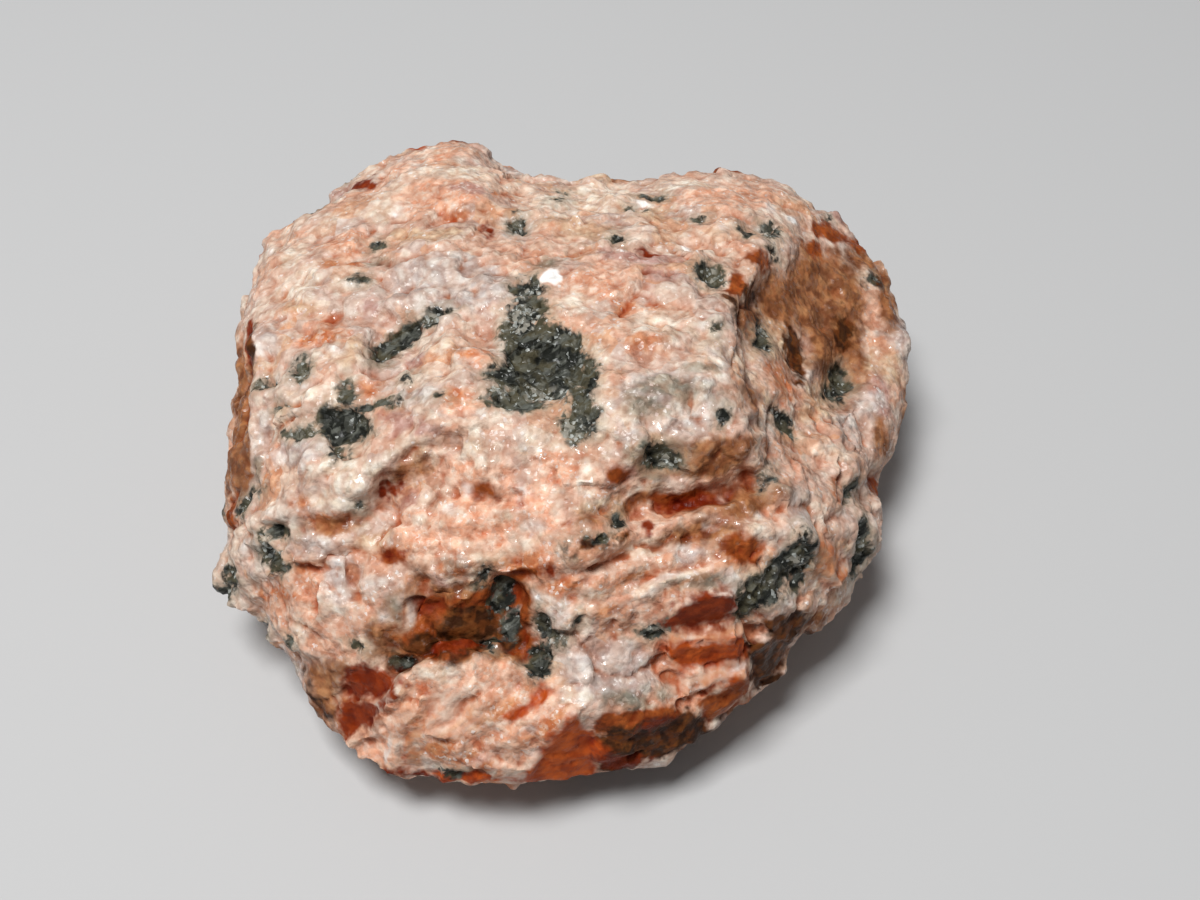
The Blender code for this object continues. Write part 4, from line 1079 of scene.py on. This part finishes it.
# umber lays brown colour and painted shade
SOFT_UMBER_AND_SHADE = [
    ("umber_and_shade", (0.45, 0.200, 0.078, 1.0), (0.24, 0.090, 0.030, 1.0), 0.96, 2.0),
]
# rust, brown and red lay deep colour and, in shaded places, painted shade; white lays white grains and
# painted highlights
DEEP_COLOURS_SHADE_AND_GLINTS = [
    ("rust", (0.41, 0.105, 0.023, 1.0), (0.29, 0.070, 0.016, 1.0), 1.0, 1.6),
    ("brown_and_shade", (0.060, 0.022, 0.007, 1.0), (0.17, 0.057, 0.014, 1.0), 1.0, 1.6),
    ("ember", (0.62, 0.125, 0.022, 1.0), (0.45, 0.075, 0.012, 1.0), 1.0, 1.6),
    ("red", (0.28, 0.042, 0.008, 1.0), (0.20, 0.026, 0.005, 1.0), 1.0, 1.5),
    ("white_grain_and_glint", (0.95, 0.92, 0.88, 1.0), (0.90, 0.84, 0.77, 1.0), 0.95, 0.5),
]
# chalk lays painted highlights in near white
BRIGHT_GRAINS_AND_GLINTS = [
    ("chalk_and_glint", (0.97, 0.95, 0.92, 1.0), (0.94, 0.90, 0.85, 1.0), 0.95, 0.5),
]
LIGHT_EDGE = (-0.34, 0.44)
SOFT_EDGE = (-0.60, 0.45)
DEEP_EDGE = (-0.22, 0.26)
BRIGHT_EDGE = (-0.06, 0.12)
DRIFT_MM = 0.8


def paint(under, minerals, edge_span):
    """Lays minerals, painted shade and highlights over a colour, each cut from its map with a ragged edge."""
    for index, (mineral, tone, other_tone, cover, raggedness) in enumerate(minerals):
        edge = sums("MULTIPLY_ADD", edge_noises[index % 2], raggedness, map_of(mineral))
        drifting = blend(rise(drifts[index % 2], 0.44, 0.60), tone, other_tone)
        under = blend(rise(edge, *edge_span, cover), under, drifting)
    return under


unclean = sums("SUBTRACT", 1.0, map_of("clean"))
looser = sums("MULTIPLY_ADD", map_of("clean"), -0.4, 1.0)
edge_noises = [
    sums("MULTIPLY", sums("SUBTRACT", cloud(size_mm, 2.6), 0.5), looser) for size_mm in (0.80, 0.60)
]
drifts = [cloud(DRIFT_MM, 2.5, bent(2.0, 0.6)), cloud(DRIFT_MM * 0.7, 2.5)]
colour = paint(colour, LIGHT_MINERALS, LIGHT_EDGE)
print("light minerals:", [row[0] for row in LIGHT_MINERALS])

# %% [markdown]
# ## Sugar, streaks and hollows
#
# Under a glass the surface is sugary: single crystals a few tenths of a millimetre wide, lighter
# and darker by turns, some white, some orange, with tiny white specks painted in as glints. Where
# the grain is drawn out, long clouds lay pale and orange streaks. The deep minerals come after the
# sugar, because their glassy grains show little of it. Hollows get stain and painted shade, and
# edges are rubbed pale.

# %% Sugar, streaks and hollows
SHADE = (0.52, 0.40, 0.33, 1.0)
RUBBED = (0.94, 0.86, 0.73, 1.0)
STAIN_AND_SHADE = (0.55, 0.22, 0.10, 1.0)
FROST = (0.94, 0.87, 0.75, 1.0)
PAINTED_SPARKLE = (0.97, 0.95, 0.92, 1.0)
STREAK_STRETCH = 6.0
SEAM_MM = 0.8

finer_ragged = bent(0.32, 0.05)
ragged = bent(0.9, 0.18)
grain_r, grain_g, _ = channels(cells(0.55, ragged))
crumb_r, crumb_g, crumb_b = channels(cells(0.22, finer_ragged))
_, speck_g, speck_b = channels(cells(0.13, finer_ragged))
for name, degrees in (("banded", BAND_RISE_DEGREES), ("fluted", FLUTE_RISE_DEGREES)):
    streaks = cloud(0.7, 3.0, drawn_out(degrees, STREAK_STRETCH))
    colour = blend(sums("MULTIPLY", map_of(name), rise(streaks, 0.55, 0.66, 0.35)), colour, FROST)
    colour = blend(sums("MULTIPLY", map_of(name), rise(streaks, 0.49, 0.38, 0.34)), colour, ORANGE)
colour = blend(sums("MULTIPLY", rise(cloud(0.36, 4.0), 0.55, 0.68, 0.28), unclean), colour, FROST)
colour = blend(sums("MULTIPLY", rise(crumb_g, 0.86, 0.95, 0.25), unclean), colour, FROST)
glowing = rise(map_of("peach"), -0.2, 0.3)
frosted = sums("MULTIPLY", rise(cloud(0.26, 4.0), 0.52, 0.64, 0.42), unclean)
colour = blend(sums("MULTIPLY", glowing, frosted), colour, FROST)
# painted highlights: tiny near-white specks stand in for glints of light on single crystals
painted_sparkles = sums("MULTIPLY", rise(speck_b, 0.93, 0.97, 0.85), rise(cloud(1.3, 2.0), 0.42, 0.60))
colour = blend(sums("MULTIPLY", painted_sparkles, unclean), colour, PAINTED_SPARKLE)
colour = paint(colour, SOFT_UMBER_AND_SHADE, SOFT_EDGE)
colour = paint(colour, DEEP_COLOURS_SHADE_AND_GLINTS, DEEP_EDGE)
colour = blend(rise(grain_r, 0.0, 1.0, 0.30), colour, SHADE, "MULTIPLY")
colour = blend(sums("MULTIPLY", rise(crumb_r, 0.1, 1.0, 0.25), unclean), colour, SHADE, "MULTIPLY")
colour = blend(rise(cloud(1.0, 4.0), 0.42, 0.70, 0.42), colour, SHADE, "MULTIPLY")
hollow = map_of("hollow")
deepest = map_of("brown_and_shade")
for mineral in ("rust", "ember", "red"):
    deepest = sums("MAXIMUM", deepest, map_of(mineral))
seam = rise(seams(SEAM_MM, bent(1.2, 0.35)), 0.28, 0.0, 0.34)
colour = blend(sums("MULTIPLY", seam, unclean), colour, STAIN_AND_SHADE, "MULTIPLY")
# painted shade and stain: the deeper a vertex lies in a hollow, the darker and browner its colour
colour = blend(rise(hollow, -0.15, 1.3, 0.90), colour, STAIN_AND_SHADE, "MULTIPLY")
rubs = sums("MULTIPLY", rise(hollow, -0.6, -2.4, 0.28), rise(deepest, 0.1, -0.4))
colour = blend(sums("MULTIPLY", rubs, unclean), colour, RUBBED)
colour = paint(colour, BRIGHT_GRAINS_AND_GLINTS, BRIGHT_EDGE)
print("sugar cells of 0.55 and 0.22 mm")

# %% [markdown]
# ## Dark grains
#
# The dark mineral splits into flakes. Most are nearly black, some are brown or olive, and a few
# carry painted glints in light grey. In the speckled parts grey grains lie between the flakes. A
# thin greenish halo softens the edge.

# %% Dark grains
BLACK = (0.016, 0.017, 0.014, 1.0)
OLIVE = (0.075, 0.066, 0.040, 1.0)
STEEL = (0.13, 0.135, 0.115, 1.0)
GLINT = (0.46, 0.48, 0.45, 1.0)
HALO = (0.34, 0.29, 0.21, 1.0)
SPECKLE = (0.33, 0.31, 0.26, 1.0)
CLEAVAGE_RISE_DEGREES = 30.0
CLEAVAGE_STRETCH = 4.0

flake_r, _, _ = channels(cells(0.36, finer_ragged))
dark_edge = sums("MULTIPLY_ADD", sums("SUBTRACT", cloud(0.50, 3.0), 0.5), 1.1, map_of("dark"))
dark_edge = sums("MULTIPLY_ADD", sums("SUBTRACT", crumb_b, 0.5), 0.20, dark_edge)
# the painted highlights of chalk cut into the dark grains
dark_edge = sums("MULTIPLY_ADD", rise(map_of("chalk_and_glint"), -0.05, 0.05), -0.7, dark_edge)
is_dark = rise(dark_edge, -0.20, 0.14)
halo = sums("MULTIPLY", rise(dark_edge, -0.70, 0.0, 0.50), rise(deepest, 0.1, -0.4))
dark_colour = blend(rise(cloud(1.1), 0.44, 0.58), BLACK, OLIVE)
cleavage = cloud(0.26, 3.0, drawn_out(CLEAVAGE_RISE_DEGREES, CLEAVAGE_STRETCH))
dark_colour = blend(rise(cleavage, 0.50, 0.66, 0.70), dark_colour, STEEL)
dark_colour = blend(rise(flake_r, 0.60, 1.0, 0.35), dark_colour, STEEL)
speckled = rise(sums("ADD", edge_noises[0], map_of("speckled")), -0.1, 0.2)
dark_colour = blend(sums("MULTIPLY", speckled, rise(crumb_b, 0.35, 0.9, 0.75)), dark_colour, SPECKLE)
# painted highlights: a few specks in the dark grains are laid in light grey as glints
glints = sums("MULTIPLY_ADD", speckled, 0.14, speck_g)
dark_colour = blend(rise(glints, 0.95, 0.99, 0.7), dark_colour, GLINT)
colour = blend(halo, colour, HALO)
colour = blend(is_dark, colour, dark_colour)
links.new(colour, shader.inputs["Base Color"])
print("dark flakes of 0.36 mm with specks of 0.13 mm")

# %% [markdown]
# ## Finish
#
# Broken feldspar is dull with many tiny mirrors. The roughness drops on some grains and on the
# clean faces, and about one crumb in five is a mirror with more gloss. Bump adds the relief that is
# finer than the mesh, and each small cell leans its own way, so that single crystals flash while
# their neighbours stay quiet.

# %% Finish
IOR = 1.53
GLOSS_LEVEL = 0.10
MIRROR_GLOSS = 0.70
GRAIN_BUMP = 0.06 * MM

roughness = sums("SUBTRACT", 0.60, rise(grain_g, 0.55, 0.70, 0.22))
roughness = sums("MULTIPLY_ADD", map_of("clean"), -0.06, roughness)
roughness = sums("MULTIPLY_ADD", is_dark, -0.10, roughness)
mirror = sums("MULTIPLY", rise(crumb_g, 0.78, 0.86), sums("MULTIPLY_ADD", is_dark, -0.6, unclean))
mirror = sums("MULTIPLY", mirror, rise(deepest, 0.1, -0.3))
roughness = sums("MULTIPLY_ADD", mirror, -0.16, roughness)
links.new(roughness, shader.inputs["Roughness"])
links.new(sums("MULTIPLY_ADD", mirror, MIRROR_GLOSS, GLOSS_LEVEL), shader.inputs["Specular IOR Level"])
shader.inputs["Metallic"].default_value = 0.0
shader.inputs["IOR"].default_value = IOR

sugar_relief = sums("MULTIPLY_ADD", domes(0.28, finer_ragged), -0.9, cloud(0.35, 4.0))
bump = nodes.new("ShaderNodeBump")
bump.inputs["Distance"].default_value = GRAIN_BUMP
links.new(sums("MULTIPLY_ADD", unclean, 0.75, 0.15), bump.inputs["Strength"])
links.new(sugar_relief, bump.inputs["Height"])
lean = sums("MULTIPLY_ADD", is_dark, 0.50, sums("MULTIPLY", unclean, 0.32))
leaning = arrows("SUBTRACT", cells(0.32, finer_ragged), HALF)
leaning = arrows("SCALE", leaning)
links.new(lean, leaning.node.inputs["Scale"])
tilted = arrows("ADD", leaning, bump.outputs["Normal"])
links.new(arrows("NORMALIZE", tilted), shader.inputs["Normal"])

SMOOTH_UNDER = math.radians(58.0)
stone.data.materials.append(material)
pick_only(stone)
bpy.ops.object.shade_smooth_by_angle(angle=SMOOTH_UNDER)
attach(stone, "root")
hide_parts(NODE_NAME)
print("material nodes:", len(nodes))

# %% [markdown]
# ## Table, light and camera
#
# The stone lies on a pale table. The key light stands almost overhead, a little to the left, so
# that the plateau is bright, the front slope is in soft shade, and the shadow falls to
# the right. A weak, even sky fills the shade. The camera looks down from 50 degrees.

# %% Table, light and camera
TABLE_HALF = 0.6
TABLE_COLOUR = (0.50, 0.50, 0.50, 1.0)
TABLE_ROUGHNESS = 0.8
bpy.ops.object.select_all(action="DESELECT")
bpy.ops.mesh.primitive_plane_add(size=2 * TABLE_HALF, location=(0.0, 0.0, 0.0))
table = bpy.context.active_object
table.name = "table"
table_material = bpy.data.materials.new("pale_table")
table_material.use_nodes = True
table_shader = table_material.node_tree.nodes["Principled BSDF"]
table_shader.inputs["Base Color"].default_value = TABLE_COLOUR
table_shader.inputs["Roughness"].default_value = TABLE_ROUGHNESS
table.data.materials.append(table_material)

KEY_DISTANCE = 0.32
KEY_SIZE = 0.11
KEY_POWER = 1.20
KEY_TOWARDS = Vector((-0.21, -0.16, 1.0)).normalized()
SKY_COLOUR = (0.95, 0.97, 1.0, 1.0)
SKY_STRENGTH = 0.17
key_light = bpy.data.lights.new("key", "AREA")
key_light.size = KEY_SIZE
key_light.energy = KEY_POWER
key = bpy.data.objects.new("key", key_light)
key.location = AIM + KEY_TOWARDS * KEY_DISTANCE
key.rotation_euler = KEY_TOWARDS.to_track_quat("Z", "Y").to_euler()
bpy.context.scene.collection.objects.link(key)

sky = bpy.data.worlds.new("even_sky")
sky.use_nodes = True
sky.node_tree.nodes["Background"].inputs["Color"].default_value = SKY_COLOUR
sky.node_tree.nodes["Background"].inputs["Strength"].default_value = SKY_STRENGTH
bpy.context.scene.world = sky
bpy.context.scene.view_settings.view_transform = "Standard"

camera_data = bpy.data.cameras.new("camera")
camera_data.lens = LENS_MM
camera_data.sensor_width = SENSOR_MM
camera_data.clip_start = 0.001
camera = bpy.data.objects.new("camera", camera_data)
camera.location = EYE
camera.rotation_euler = BACK.to_track_quat("Z", "Y").to_euler()
bpy.context.scene.collection.objects.link(camera)
bpy.context.scene.camera = camera
print("camera at, in mm:", [round(value / MM, 1) for value in EYE])

# %% Updating the view layer
bpy.context.view_layer.update()
